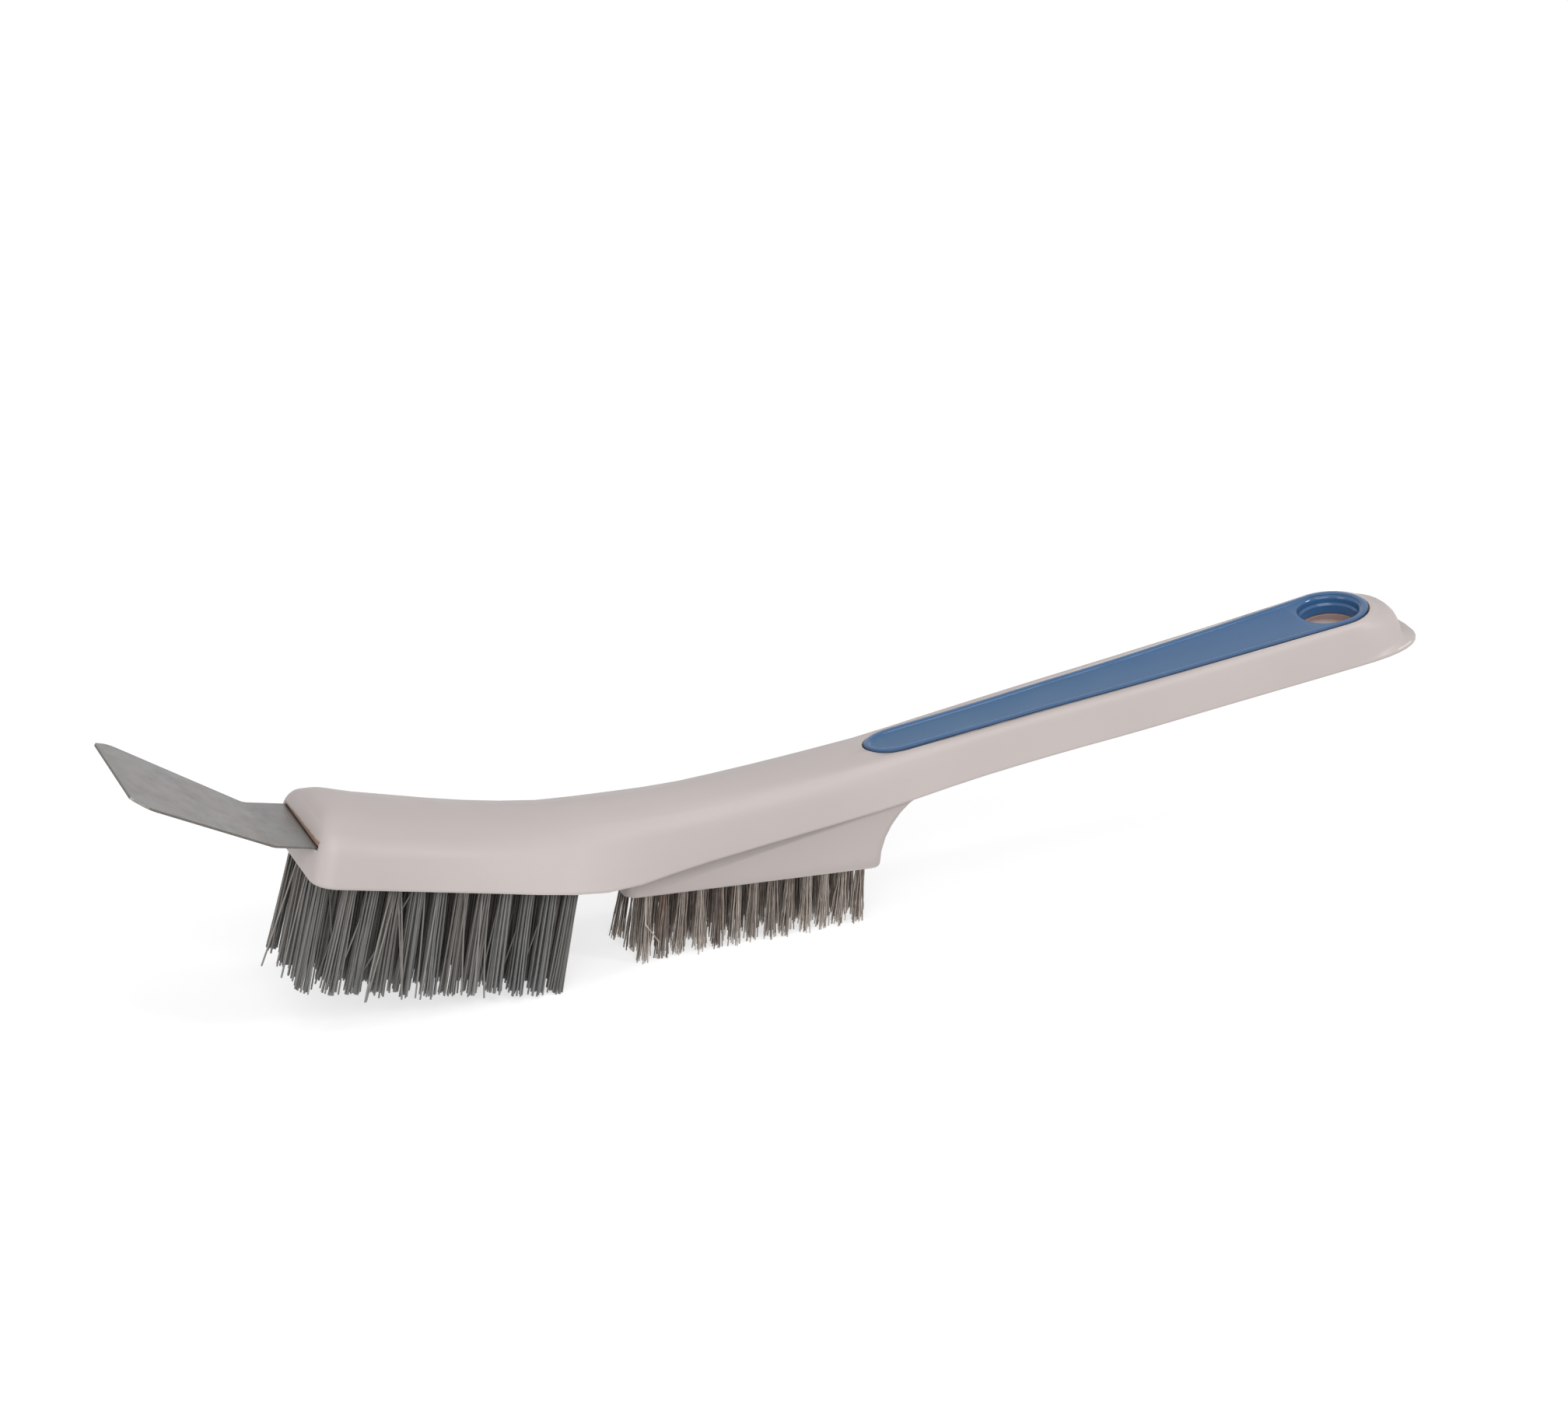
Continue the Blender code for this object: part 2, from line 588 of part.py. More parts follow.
def add_strand(bm, root, way, length, thickness, sides, turn):
    """One straight strand with 3 or 4 sides, from inside the backing to its tip."""
    way = way.normalized()
    turned = way.to_track_quat("Z", "Y").to_matrix().to_4x4() @ Matrix.Rotation(turn, 4, "Z")
    bmesh.ops.create_cone(bm, cap_ends=True, segments=sides, radius1=thickness / 2,
                          radius2=thickness / 2, depth=length,
                          matrix=Matrix.Translation(root + way * length / 2) @ turned)


def cut_level(bm, frame):
    """Tips that reach below the surface that the brush stands on are cut level with it."""
    back = frame.inverted()
    bmesh.ops.bisect_plane(bm, geom=bm.verts[:] + bm.edges[:] + bm.faces[:], plane_co=back @ Vector(),
                           plane_no=back.to_3x3() @ Vector((0, 0, -1)), clear_outer=True)
    bmesh.ops.holes_fill(bm, edges=[edge for edge in bm.edges if edge.is_boundary])


def drop(frame, root, way):
    """Length of a strand from its root to the ground."""
    return (frame @ root).z / -(frame.to_3x3() @ way.normalized()).z


def nylon_strands(frame, row, lines, rng):
    """Four strands a tuft, which spread a little. Rows lean forward at the front and back behind it."""
    bm = bmesh.new()
    last = row == NYLON_ROWS - 1
    lean = NYLON_LEAN * NYLON_LEAN_SHARES[row]
    for line in lines:
        for a, b in itertools.product((-1, 1), (-1, 1)):
            root = Vector((a * NYLON_SPREAD, line * NYLON_LINE_PITCH + b * NYLON_SPREAD, BACKING / 2))
            splay = TIP_SPLAY * rng.uniform(0.2, 1)
            way = Vector((math.tan(a * splay - lean), math.tan(b * splay + TIP_SPLAY * line / 2), -1))
            length = NYLON_LENGTH * NYLON_LENGTH_SHARES[row] + BACKING / 2 + NYLON_WANDER * rng.uniform(-1, 1)
            if last:
                length = drop(frame, root, way) + STANDING_CUT
            add_strand(bm, root, way, length, NYLON_STRAND, 4, math.pi / 4)
    cut_level(bm, frame)
    return mesh_from("nylon_strands", bm)


def wire_strands(frame, row, lines, rng):
    """Six wires a tuft, of uneven length, whose longest are cut level by the ground."""
    bm = bmesh.new()
    for line in lines:
        for a, b in itertools.product((-1, 1), (-1, 0, 1)):
            root = Vector((a * WIRE_SPREAD / 2, line * WIRE_LINE_PITCH + b * WIRE_SPREAD, BACKING / 2))
            way = Vector((math.tan(a * TIP_SPLAY * rng.random()), math.tan(b * TIP_SPLAY * rng.random()), -1))
            length = drop(frame, root, way) + STANDING_CUT - rng.choice((0, 0, 1, 2)) * WIRE_WANDER
            add_strand(bm, root, way, length, WIRE_STRAND, 3, rng.uniform(0, math.tau))
    cut_level(bm, frame)
    return mesh_from("wire_strands", bm)


def face_point(start, tilt, along):
    """A point along a flat face that starts at (place, height) and falls to the rear."""
    return Vector((start[0] + along * math.cos(tilt), 0, start[1] - along * math.sin(tilt)))


def build_tufts(kind, start, tilt, first, pitch, row_lines, widths, strands, body, parent, material, rng):
    """Rows of tufts across a flat face of the body, each a slice of backing in a shared pocket."""
    for row, lines in enumerate(row_lines):
        location = face_point(start, tilt, first + row * pitch)
        frame = Matrix.Translation(location) @ Matrix.Rotation(tilt, 4, "Y")
        slab = slab_mesh(pitch - GAP, widths[row])
        obj = add_object(f"{kind}_row_{row + 1:02d}", slab, parent, material, location, tilt)
        tufts = add_object(f"{kind}_strands_{row + 1:02d}", strands(frame, row, lines, rng), parent, None,
                           location, tilt)
        combine(obj, tufts, "UNION")
    pocket = add_object(f"{kind}_pocket", pocket_mesh(widths, first, pitch), parent, None,
                        face_point(start, tilt, 0), tilt)
    combine(body, pocket, "DIFFERENCE")


def build_nylon(body, parent, rng):
    material = finish("nylon", (0.21, 0.20, 0.19), 0.55)
    row_lines = [(-1.5, -0.5, 0.5, 1.5)] + [(-2, -1, 0, 1, 2)] * (NYLON_ROWS - 1)
    widths = [(len(lines) - 1) * NYLON_LINE_PITCH + NYLON_TUFT_WIDTH for lines in row_lines]
    build_tufts("nylon", (0, HEAD_FRONT_HEIGHT), FACE_TILT, NYLON_FIRST_ROW, NYLON_PITCH, row_lines, widths,
                nylon_strands, body, parent, material, rng)


def build_wires(body, parent, rng):
    material = finish("steel_wire", (0.19, 0.16, 0.14), 0.45, 0.8)
    row_lines = [(-1, 0, 1)] * WIRE_ROWS
    widths = [2 * WIRE_LINE_PITCH + WIRE_TUFT_WIDTH] * WIRE_ROWS
    build_tufts("wire", (PAD_PLACE, PAD_FRONT_HEIGHT), PAD_SLOPE, WIRE_FIRST_ROW, WIRE_PITCH, row_lines,
                widths, wire_strands, body, parent, material, rng)


def build_body(parent):
    body = add_object("body", body_mesh(), parent, finish("grey_plastic", (0.56, 0.50, 0.47), 0.45))
    combine(body, add_object("pad", pad_mesh(), parent), "UNION")
    return body


def build_insert(body, parent):
    """The inlay and its recess, its collar and the hanging hole that goes through both pieces."""
    insert = add_object("handle_insert", insert_mesh(), parent,
                        finish("blue_plastic", (0.06, 0.20, 0.42), 0.3))
    place = {"location": (HOLE_PLACE, 0, spine_height(HOLE_PLACE) + INSERT_PROUD),
             "tilt": -math.atan(TAIL_SLOPE)}
    bore = add_object("hanging_hole", bore_mesh(), parent, **place)
    combine(insert, add_object("collar", collar_mesh(), parent, **place), "UNION")
    combine(insert, bore, "DIFFERENCE")
    combine(body, add_object("insert_recess", recess_mesh(), parent), "DIFFERENCE")
    combine(body, add_object("collar_recess", collar_mesh(GAP), parent, **place), "DIFFERENCE")
    combine(body, bore, "DIFFERENCE")


def build_blade(body, parent):
    """The scraper and the slot in the head that its tang sits in."""
    steel = finish("sheet_steel", (0.30, 0.29, 0.28), 0.35, 1.0)
    sheet("scraper_blade", blade_outline(), BLADE_THICKNESS, parent, steel)
    half = BLADE_ROOT_WIDTH / 2 + SLOT_SIDE
    slot = sheet("blade_slot", ((BLADE_TANG + GAP, half), (-OVERRUN, half)), BLADE_THICKNESS + 2 * GAP,
                 parent)
    combine(body, slot, "DIFFERENCE")


def main():
    for obj in list(bpy.data.objects):
        bpy.data.objects.remove(obj)
    front = blade_front()
    stand = add_empty("head_front", ((front - BODY_LENGTH) / 2, 0, 0))
    rng = random.Random(SEED)
    body = build_body(stand)
    build_insert(body, stand)
    build_blade(body, stand)
    build_nylon(body, stand, rng)
    build_wires(body, stand, rng)
    bpy.context.view_layer.update()


if __name__ == "__main__":
    main()
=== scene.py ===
"""Grill brush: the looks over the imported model.

Units are metres and +Z is up. The body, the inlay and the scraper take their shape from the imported
model, with smooth shading and softened edges. The tufts are modelled here, filament by filament.
"""

import math
import random

import bmesh
import bpy
from bpy.props import FloatProperty, FloatVectorProperty, IntProperty, PointerProperty
from mathutils import Matrix, Vector


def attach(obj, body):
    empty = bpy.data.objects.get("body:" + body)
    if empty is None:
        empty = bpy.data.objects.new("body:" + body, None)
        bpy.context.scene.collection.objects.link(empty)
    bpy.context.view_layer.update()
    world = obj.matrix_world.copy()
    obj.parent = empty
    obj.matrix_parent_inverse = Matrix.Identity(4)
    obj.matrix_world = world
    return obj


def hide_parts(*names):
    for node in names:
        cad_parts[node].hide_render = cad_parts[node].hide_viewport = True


bl_info = {
    "name": "Grill Brush Looks",
    "version": (1, 0, 0),
    "blender": (4, 5, 0),
    "location": "View3D > Sidebar > Grill Brush",
    "description": "Bristles, finishes and studio for the packed grill brush",
    "category": "Object",
}

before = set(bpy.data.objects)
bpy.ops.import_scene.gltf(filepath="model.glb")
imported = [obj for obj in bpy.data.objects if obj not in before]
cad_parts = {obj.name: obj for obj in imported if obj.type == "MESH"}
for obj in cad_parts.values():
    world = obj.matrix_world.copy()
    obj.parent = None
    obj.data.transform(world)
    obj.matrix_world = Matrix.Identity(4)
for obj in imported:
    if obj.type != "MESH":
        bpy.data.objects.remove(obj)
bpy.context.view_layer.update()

# Faces that carry the tufts: where each starts, and how far it falls to the rear
HEAD_FACE = Vector((-0.13021, 0, 0.041))
HEAD_FACE_TILT = math.radians(12)
PAD_FACE = Vector((-0.04961, 0, 0.01922))
PAD_FACE_TILT = math.radians(3.2)
BACKING = 0.0020
POCKET_GAP = 0.0003
NYLON_TUFT_WIDTH = 0.0038
WIRE_TUFT_WIDTH = 0.0036

# Where the scraper enters the head, and the way that its sheet faces there
SLOT_POINT = Vector((-0.12724, 0, 0.04855))
SLOT_NORMAL = Vector((0.2079, 0, 0.9781))
SLOT_HALF_WIDTH = 0.0137

# The hanging hole: where its axis is, how far its wall reaches from it, and how wide its bore is
HOLE_PLACE = 0.1487
HOLE_REACH = 0.0087
BORE_REACH = 0.0084
# Heights between which the darker brown band on its wall fades out downwards
HOLE_BROWN_FOOT = 0.0540
HOLE_BROWN_TOP = 0.0550

# How far behind the inlay's front end its sunken field is looked for
FIELD_PLACE = 0.06

# Edges sharper than this angle stay sharp or are rounded off. The body's are rounded off only
# above the second angle, because its skin has coarse facets.
CREASE = math.radians(32)
BODY_CREASE = math.radians(50)

# Shares of the nylon's length and of its lean to the front, row by row from the front
LENGTH_SHARES = (1.06, 1.025, 1.025, 1.025, 1.025, 1.02, 1.01, 1.01, 1.0, 1.0, 0.995, 0.99)
LEAN_SHARES = (0.6, 0, 0, -0.1, -0.5, -0.8, -0.9, -1, -1, -1, -0.9, -0.7)
# How much wider than the others the nearest tuft of each row has been splayed by use
SPLAY_SHARES = (1.3, 2.2, 2.4, 2.0, 1.7, 1.5, 1.3, 1.2, 1.1, 1.0, 1.0, 0.8)
# Tufts, by row and line, that use has pressed further forward, and by how many degrees
PRESSED_TUFTS = {(0, 1.5): 1, (1, -2): 2.5, (2, -2): 1.5, (3, -2): 0.5}

# Rows of steel wire
WIRE_ROWS = 13

# Nylon: how far tone and hue, from 0 to 1, differ from tuft to tuft, how far hue browns from line
# to line towards the far side as a painted shade, and how far they differ from filament to filament
TUFT_TONE, TUFT_HUE, FAR_SHADE_HUE = 0.16, 0.2, 0.08
FILAMENT_TONE, FILAMENT_HUE = 0.16, 0.15
# Share of filaments that stray, and how much wider they splay and how much paler they are
NYLON_STRAYS, STRAY_SPLAY, STRAY_PALER = 0.09, 12, 0.35

# Wires: mean tone, and how far it differs from wire to wire and from tuft to tuft
WIRE_TONE, WIRE_TONE_SPREAD, WIRE_TUFT_TONE = 0.42, 0.25, 0.12
# Stray wires: their share, steps of their tips and of other tips, and how much brighter they are
WIRE_STRAYS, WIRE_STRAY_STEP, WIRE_STEP, WIRE_STRAY_BRIGHTER = 0.05, 0.0011, 0.0003, 0.3
# The first rows have been pressed forward, less and less up to this one
PRESSED_ROWS = 6
# The tuft that has rusted most, by row and line, and how far it has
RUSTY_TUFT, RUST_SHARE = (1, -1), 0.9

# Light of the surroundings, which the camera and reflections see as plain white
SURROUNDINGS = (0.325, 0.33, 0.342, 1)

# Softboxes of the studio: name, place, size and watts. The one over the handle draws the pale band
# on the inlay's near shoulder, and the small one draws the glints.
SOFTBOXES = (
    ("side_softbox", (1.15, -0.98, 0.76), (0.3, 0.3), 5),
    ("front_softbox", (-1.6, -0.3, 0.5), (0.8, 0.8), 4),
    ("top_softbox", (0.2, -0.35, 1.6), (0.9, 0.3), 2.2),
    ("glint_lamp", (-0.3, -0.4, 1.6), (0.1, 0.1), 0.8),
)
LAMP_TARGET = (0, 0, 0.03)

# The camera is set on a point under the waist, which lies at this pixel of the picture
PICTURE_WIDTH, PICTURE_HEIGHT = 2016, 1821
SET_ON = Vector((-0.01583, 0, 0.029))
SET_ON_PIXEL = (950, 1060)
SENSOR = 36

# Inputs and output of a Mix node that mixes colours
COLOUR_A, COLOUR_B, COLOUR_OUT = 6, 7, 2


def linear(code):
    """Linear colour of an sRGB hex value."""
    shares = [int(code[i:i + 2], 16) / 255 for i in (0, 2, 4)]
    return tuple(c / 12.92 if c <= 0.04045 else ((c + 0.055) / 1.055) ** 2.4 for c in shares)


def per_mm(width):
    """Scale of a pattern whose features are this many millimetres wide."""
    return 1000 / width


def colour(name, description, code):
    """A colour setting, from its sRGB hex value."""
    return FloatVectorProperty(name=name, description=description, subtype="COLOR", size=3,
                               min=0, max=1, default=linear(code))


def length(name, description, metres):
    """A length setting, in metres."""
    return FloatProperty(name=name, description=description, unit="LENGTH", precision=5,
                         min=0, default=metres)


def angle(name, description, degrees):
    """An angle setting, in degrees."""
    return FloatProperty(name=name, description=description, subtype="ANGLE",
                         default=math.radians(degrees))


class MouldedLook(bpy.types.PropertyGroup):
    """Finish of the moulded plastic pieces."""

    body: colour("Body", "Grey plastic of the body", "CBC0BC")
    # Painted highlight: the paler colour of the body's rims and rounded edges
    rim_highlight: colour("Rim", "The body's rims and cut edges, rubbed paler", "DFD9D3")
    speck: colour("Specks", "Dark specks moulded into the grey plastic", "7A6E68")
    stain: colour("Slot stain", "Rust washed out of the slot of the scraper", "96705A")
    # A darker brown band on the upper wall of the hanging hole, fading out downwards
    hole_wall_brown: colour("Hole stain", "Rust rubbed off on the wall of the hanging hole", "95726B")
    insert: colour("Inlay", "Blue plastic of the inlay's rounded border", "2C6091")
    field: colour("Inlay field", "Blue plastic of the sunken field", "2B5D87")
    field_rear: colour("Inlay field, rear", "Bluer plastic of the field beside the hole", "285C8D")
    bore: colour("Inlay bore", "Blue plastic of the hole's polished wall", "365E8A")
    # Painted shade: the inlay's side walls are dark for the shaded seam round its foot
    painted_seam_shade: colour("Inlay grime", "Dirt that gathers round the inlay's foot", "1D3552")
    grain: length("Grain", "Width of the grain that the mould leaves", 0.0005)
    edge: length("Edge", "Radius on the cut edges of the plastic", 0.00022)


class SteelLook(bpy.types.PropertyGroup):
    """Finish of the scraper."""

    sheet: colour("Sheet", "Rolled steel of the scraper", "8A8684")
    cool: colour("Cool patches", "Patches that look bluer", "8A8A89")
    stain: colour("Stain", "Water stains on the scraper", "7F7A76")
    cut: colour("Cut edge", "The sheet's dull edge", "75706B")
    # The ground corners are brighter than the cut edge, partly a painted glint
    ground: colour("Ground corner", "The bright ground corners of the tip", "8E8984")
    edge: length("Edge", "Radius on the stamped edges", 0.00012)


class NylonTufts(bpy.types.PropertyGroup):
    """Tufts of nylon filament under the head."""

    first: length("First row", "From the front of the face to the first row", 0.0052)
    pitch: length("Row pitch", "From row to row", 0.00562)
    line_pitch: length("Line pitch", "From tuft to tuft across the head", 0.0071)
    reach: length("Length", "Length of the filaments outside the head", 0.0275)
    hole: length("Hole radius", "Radius of the bundle where it leaves the head", 0.00162)
    spread: length("Spread", "How much wider the bundle gets by its tips", 0.0005)
    filament: length("Filament", "Diameter of one filament", 0.0005)
    wander: length("Tip wander", "Unevenness of the trimmed tips", 0.0005)
    bow: length("Bow", "How far a filament bows from a straight line", 0.0001)
    lean: angle("Lean", "How far the front rows lean forward and the rear rows back", 2)
    splay: angle("Splay", "How far single filaments stray from their tuft's way", 0.42)
    border: length("Border", "How far from the middle plane a stray tip may reach", 0.0188)
    wobble: angle("Wobble", "How far whole tufts stray from the way that they were set", 0.9)
    count: IntProperty(name="Filaments", description="Filaments in one tuft", default=26, min=3)
    cool: colour("Cool filament", "The bluer filaments", "767775")
    warm: colour("Warm filament", "The browner filaments", "807871")


class WireTufts(bpy.types.PropertyGroup):
    """Tufts of steel wire under the pad."""

    first: length("First row", "From the front of the pad to the first row", 0.0069)
    pitch: length("Row pitch", "From row to row", 0.00474)
    line_pitch: length("Line pitch", "From tuft to tuft across the pad", 0.0066)
    hole: length("Hole radius", "Radius of the bundle where it leaves the pad", 0.001)
    spread: length("Spread", "How much wider the bundle gets by its tips", 0.0008)
    wire: length("Wire", "Diameter of one wire", 0.00033)
    wander: length("Tip wander", "Unevenness of the worn ends", 0.0032)
    lean: angle("Lean", "How far the first row has been pressed forward", 3.5)
    crimp: length("Crimp", "How far a wire's crimp swings from a straight line", 0.0001)
    count: IntProperty(name="Wires", description="Wires in one tuft", default=30, min=3)
    light: colour("Light wire", "Bright worn wire", "C6BCB3")
    dark: colour("Dark wire", "Dull brown wire", "625852")
    rust: colour("Rust", "Rusted wire", "875F46")


class Studio(bpy.types.PropertyGroup):
    """Floor, light and camera."""

    floor: colour("Floor", "Pale floor", "C4C4C4")
    turn: angle("Camera turn", "How far the camera stands to the side of the scraper's end", 22.56)
    rise: angle("Camera rise", "How far the camera looks down", 23.58)
    distance: length("Camera distance", "From the camera to the point that it is set on", 1.0608)
    lens: FloatProperty(name="Lens", description="Focal length in millimetres on a 36 mm sensor",
                        default=98.5, min=1)


class BrushLooks(bpy.types.PropertyGroup):
    """All the sizes and colours that a user would change."""

    moulded: PointerProperty(name="Plastic", type=MouldedLook)
    steel: PointerProperty(name="Scraper", type=SteelLook)
    nylon: PointerProperty(name="Nylon tufts", type=NylonTufts)
    wires: PointerProperty(name="Wire tufts", type=WireTufts)
    studio: PointerProperty(name="Studio", type=Studio)


def new_material(name):
    """A material with its node tree and its Principled shader."""
    material = bpy.data.materials.new(name)
    material.use_nodes = True
    return material, material.node_tree, material.node_tree.nodes["Principled BSDF"]


def add_node(tree, kind, inputs=(), **settings):
    """Adds a node with its settings. An input is a value, or a socket to link from."""
    node = tree.nodes.new(kind)
    for name, value in settings.items():
        setattr(node, name, value)
    for name, value in dict(inputs).items():
        if isinstance(value, bpy.types.NodeSocket):
            tree.links.new(value, node.inputs[name])
        else:
            node.inputs[name].default_value = value
    return node


def moulded_plastic(look, name, code):
    """Polypropylene, injection moulded: satin, with flow marks, fine grain and dark specks."""
    material, tree, shader = new_material(name)
    place = add_node(tree, "ShaderNodeTexCoord").outputs["Object"]
    axes = add_node(tree, "ShaderNodeSeparateXYZ", {0: place}).outputs
    # Flow marks drift over about 35 mm
    flow = add_node(tree, "ShaderNodeTexNoise", {"Vector": place, "Scale": per_mm(35),
                                                 "Detail": 3.0})
    tone = add_node(tree, "ShaderNodeMapRange", {"Value": flow.outputs["Fac"], "From Min": 0.3,
                                                 "From Max": 0.7, "To Min": 0.975, "To Max": 1.015})
    base = add_node(tree, "ShaderNodeVectorMath", {0: code, "Scale": tone.outputs["Result"]},
                    operation="SCALE")
    # One cell each 13 mm may hold a speck about 0.35 mm wide, and two cells in three stay empty
    cells = add_node(tree, "ShaderNodeTexVoronoi", {"Vector": place, "Scale": per_mm(13)})
    dot = add_node(tree, "ShaderNodeMapRange", {"Value": cells.outputs["Distance"],
                                                "From Min": 0.010, "From Max": 0.018, "To Min": 0.8,
                                                "To Max": 0.0})
    rare = add_node(tree, "ShaderNodeMath", {0: cells.outputs["Color"], 1: 0.60},
                    operation="GREATER_THAN")
    speck = add_node(tree, "ShaderNodeMath", {0: dot.outputs["Result"], 1: rare.outputs["Value"]},
                     operation="MULTIPLY")
    specked = add_node(tree, "ShaderNodeMix", {0: speck.outputs["Value"],
                                               COLOUR_A: base.outputs["Vector"],
                                               COLOUR_B: (*look.speck, 1)}, data_type="RGBA")
    slot = add_slot_stain(tree, place, axes)
    stained = add_node(tree, "ShaderNodeMix", {0: slot, COLOUR_A: specked.outputs[COLOUR_OUT],
                                                COLOUR_B: (*look.stain, 1)}, data_type="RGBA")
    # The wall of the hanging hole: everything of the body within reach of the hole's axis
    off = add_node(tree, "ShaderNodeVectorMath", {0: place, 1: (HOLE_PLACE, 0, 0)},
                   operation="SUBTRACT")
    plan = add_node(tree, "ShaderNodeVectorMath", {0: off.outputs["Vector"], 1: (1, 1, 0)},
                    operation="MULTIPLY")
    away = add_node(tree, "ShaderNodeVectorMath", {0: plan.outputs["Vector"]}, operation="LENGTH")
    wall = add_node(tree, "ShaderNodeMapRange", {"Value": away.outputs["Value"],
                                                 "From Min": HOLE_REACH - 0.0004,
                                                 "From Max": HOLE_REACH, "To Min": 0.85,
                                                 "To Max": 0.0})
    # The band is strongest at the top of that wall and fades out downwards
    tinted = add_node(tree, "ShaderNodeMapRange", {"Value": axes["Z"], "From Min": HOLE_BROWN_FOOT,
                                                   "From Max": HOLE_BROWN_TOP, "To Min": 0.0,
                                                   "To Max": 1.0})
    brown_share = add_node(tree, "ShaderNodeMath", {0: wall.outputs["Result"],
                                             1: tinted.outputs["Result"]}, operation="MULTIPLY")
    browned = add_node(tree, "ShaderNodeMix", {0: brown_share.outputs["Value"],
                                              COLOUR_A: stained.outputs[COLOUR_OUT],
                                              COLOUR_B: (*look.hole_wall_brown, 1)}, data_type="RGBA")
    tree.links.new(browned.outputs[COLOUR_OUT], shader.inputs["Base Color"])
    # Handling wears the gloss unevenly, in patches of about 6 mm
    worn = add_node(tree, "ShaderNodeTexNoise", {"Vector": place, "Scale": per_mm(6),
                                                 "Detail": 4.0})
    gloss = add_node(tree, "ShaderNodeMapRange", {"Value": worn.outputs["Fac"], "From Min": 0.3,
                                                  "From Max": 0.7, "To Min": 0.38, "To Max": 0.46})
    tree.links.new(gloss.outputs["Result"], shader.inputs["Roughness"])
    grain = add_node(tree, "ShaderNodeTexNoise", {"Vector": place, "Scale": 1 / look.grain,
                                                  "Detail": 2.0})
    bump = add_node(tree, "ShaderNodeBump", {"Height": grain.outputs["Fac"], "Strength": 0.2,
                                              "Distance": 0.00003})
    tree.links.new(bump.outputs["Normal"], shader.inputs["Normal"])
    shader.inputs["IOR"].default_value = 1.49
    return material


def add_slot_stain(tree, place, axes):
    """Share of rust on the slot's mouth: a line over the sheet, wider at its near end."""
    along = add_node(tree, "ShaderNodeVectorMath", {0: place, 1: tuple(SLOT_NORMAL)},
                     operation="DOT_PRODUCT")
    over = add_node(tree, "ShaderNodeMath", {0: along.outputs["Value"],
                                             1: SLOT_POINT.dot(SLOT_NORMAL)}, operation="SUBTRACT")
    # It reaches 1.1 mm over the sheet's middle at the slot's far end, and 1.8 mm at its near end
    reach = add_node(tree, "ShaderNodeMapRange", {"Value": axes["Y"], "From Min": -SLOT_HALF_WIDTH,
                                                  "From Max": SLOT_HALF_WIDTH, "To Min": 0.0021,
                                                  "To Max": 0.0014})
    # Its border is ragged, in steps of about 1.5 mm
    rough = add_node(tree, "ShaderNodeTexNoise", {"Vector": place, "Scale": per_mm(1.5),
                                                  "Detail": 3.0})
    ragged = add_node(tree, "ShaderNodeMath", {0: rough.outputs["Fac"], 1: 0.0005,
                                               2: over.outputs["Value"]}, operation="MULTIPLY_ADD")
    left = add_node(tree, "ShaderNodeMath", {0: reach.outputs["Result"],
                                             1: ragged.outputs["Value"]}, operation="SUBTRACT")
    soft = add_node(tree, "ShaderNodeMapRange", {"Value": left.outputs["Value"],
                                                 "From Min": -0.0001, "From Max": 0.0003,
                                                 "To Min": 0.0, "To Max": 0.9})
    side = add_node(tree, "ShaderNodeMath", {0: axes["Y"]}, operation="ABSOLUTE")
    # It stays over the sheet, within the slot's width and at most 4 mm behind the slot's mouth
    share = soft.outputs["Result"]
    for value, operation, border in ((over.outputs["Value"], "GREATER_THAN", -0.0006),
                                     (side.outputs["Value"], "LESS_THAN", SLOT_HALF_WIDTH),
                                     (axes["X"], "LESS_THAN", SLOT_POINT.x + 0.004)):
        mask = add_node(tree, "ShaderNodeMath", {0: value, 1: border}, operation=operation)
        share = add_node(tree, "ShaderNodeMath", {0: share, 1: mask.outputs["Value"]},
                         operation="MULTIPLY").outputs["Value"]
    return share


def inlay_plastic(look, name, front, rear, roughness, grain_strength):
    """ABS, injection moulded: the polished border and bore are glossy, and the field is grained."""
    material, tree, shader = new_material(name)
    place = add_node(tree, "ShaderNodeTexCoord").outputs["Object"]
    axes = add_node(tree, "ShaderNodeSeparateXYZ", {0: place}).outputs
    blend = add_node(tree, "ShaderNodeMapRange", {"Value": axes["X"], "From Min": 0.05,
                                                  "From Max": HOLE_PLACE, "To Min": 0.0,
                                                  "To Max": 1.0})
    hue = add_node(tree, "ShaderNodeMix", {0: blend.outputs["Result"], COLOUR_A: (*front, 1),
                                            COLOUR_B: (*rear, 1)}, data_type="RGBA")
    # Flow marks are drawn out along the handle: 8 mm wide and about 40 mm long
    drawn = add_node(tree, "ShaderNodeMapping", {"Vector": place, "Scale": (0.2, 1.0, 1.0)})
    flow = add_node(tree, "ShaderNodeTexNoise", {"Vector": drawn.outputs["Vector"],
                                                 "Scale": per_mm(8), "Detail": 3.0})
    tone = add_node(tree, "ShaderNodeMapRange", {"Value": flow.outputs["Fac"], "From Min": 0.3,
                                                 "From Max": 0.7, "To Min": 0.94, "To Max": 1.06})
    base = add_node(tree, "ShaderNodeVectorMath", {0: hue.outputs[COLOUR_OUT],
                                                   "Scale": tone.outputs["Result"]},
                    operation="SCALE")
    tree.links.new(base.outputs["Vector"], shader.inputs["Base Color"])
    grain = add_node(tree, "ShaderNodeTexNoise", {"Vector": place, "Scale": 1 / look.grain,
                                                  "Detail": 3.0})
    bump = add_node(tree, "ShaderNodeBump", {"Height": grain.outputs["Fac"],
                                             "Strength": grain_strength, "Distance": 0.00004})
    tree.links.new(bump.outputs["Normal"], shader.inputs["Normal"])
    shader.inputs["Roughness"].default_value = roughness
    shader.inputs["IOR"].default_value = 1.53
    return material


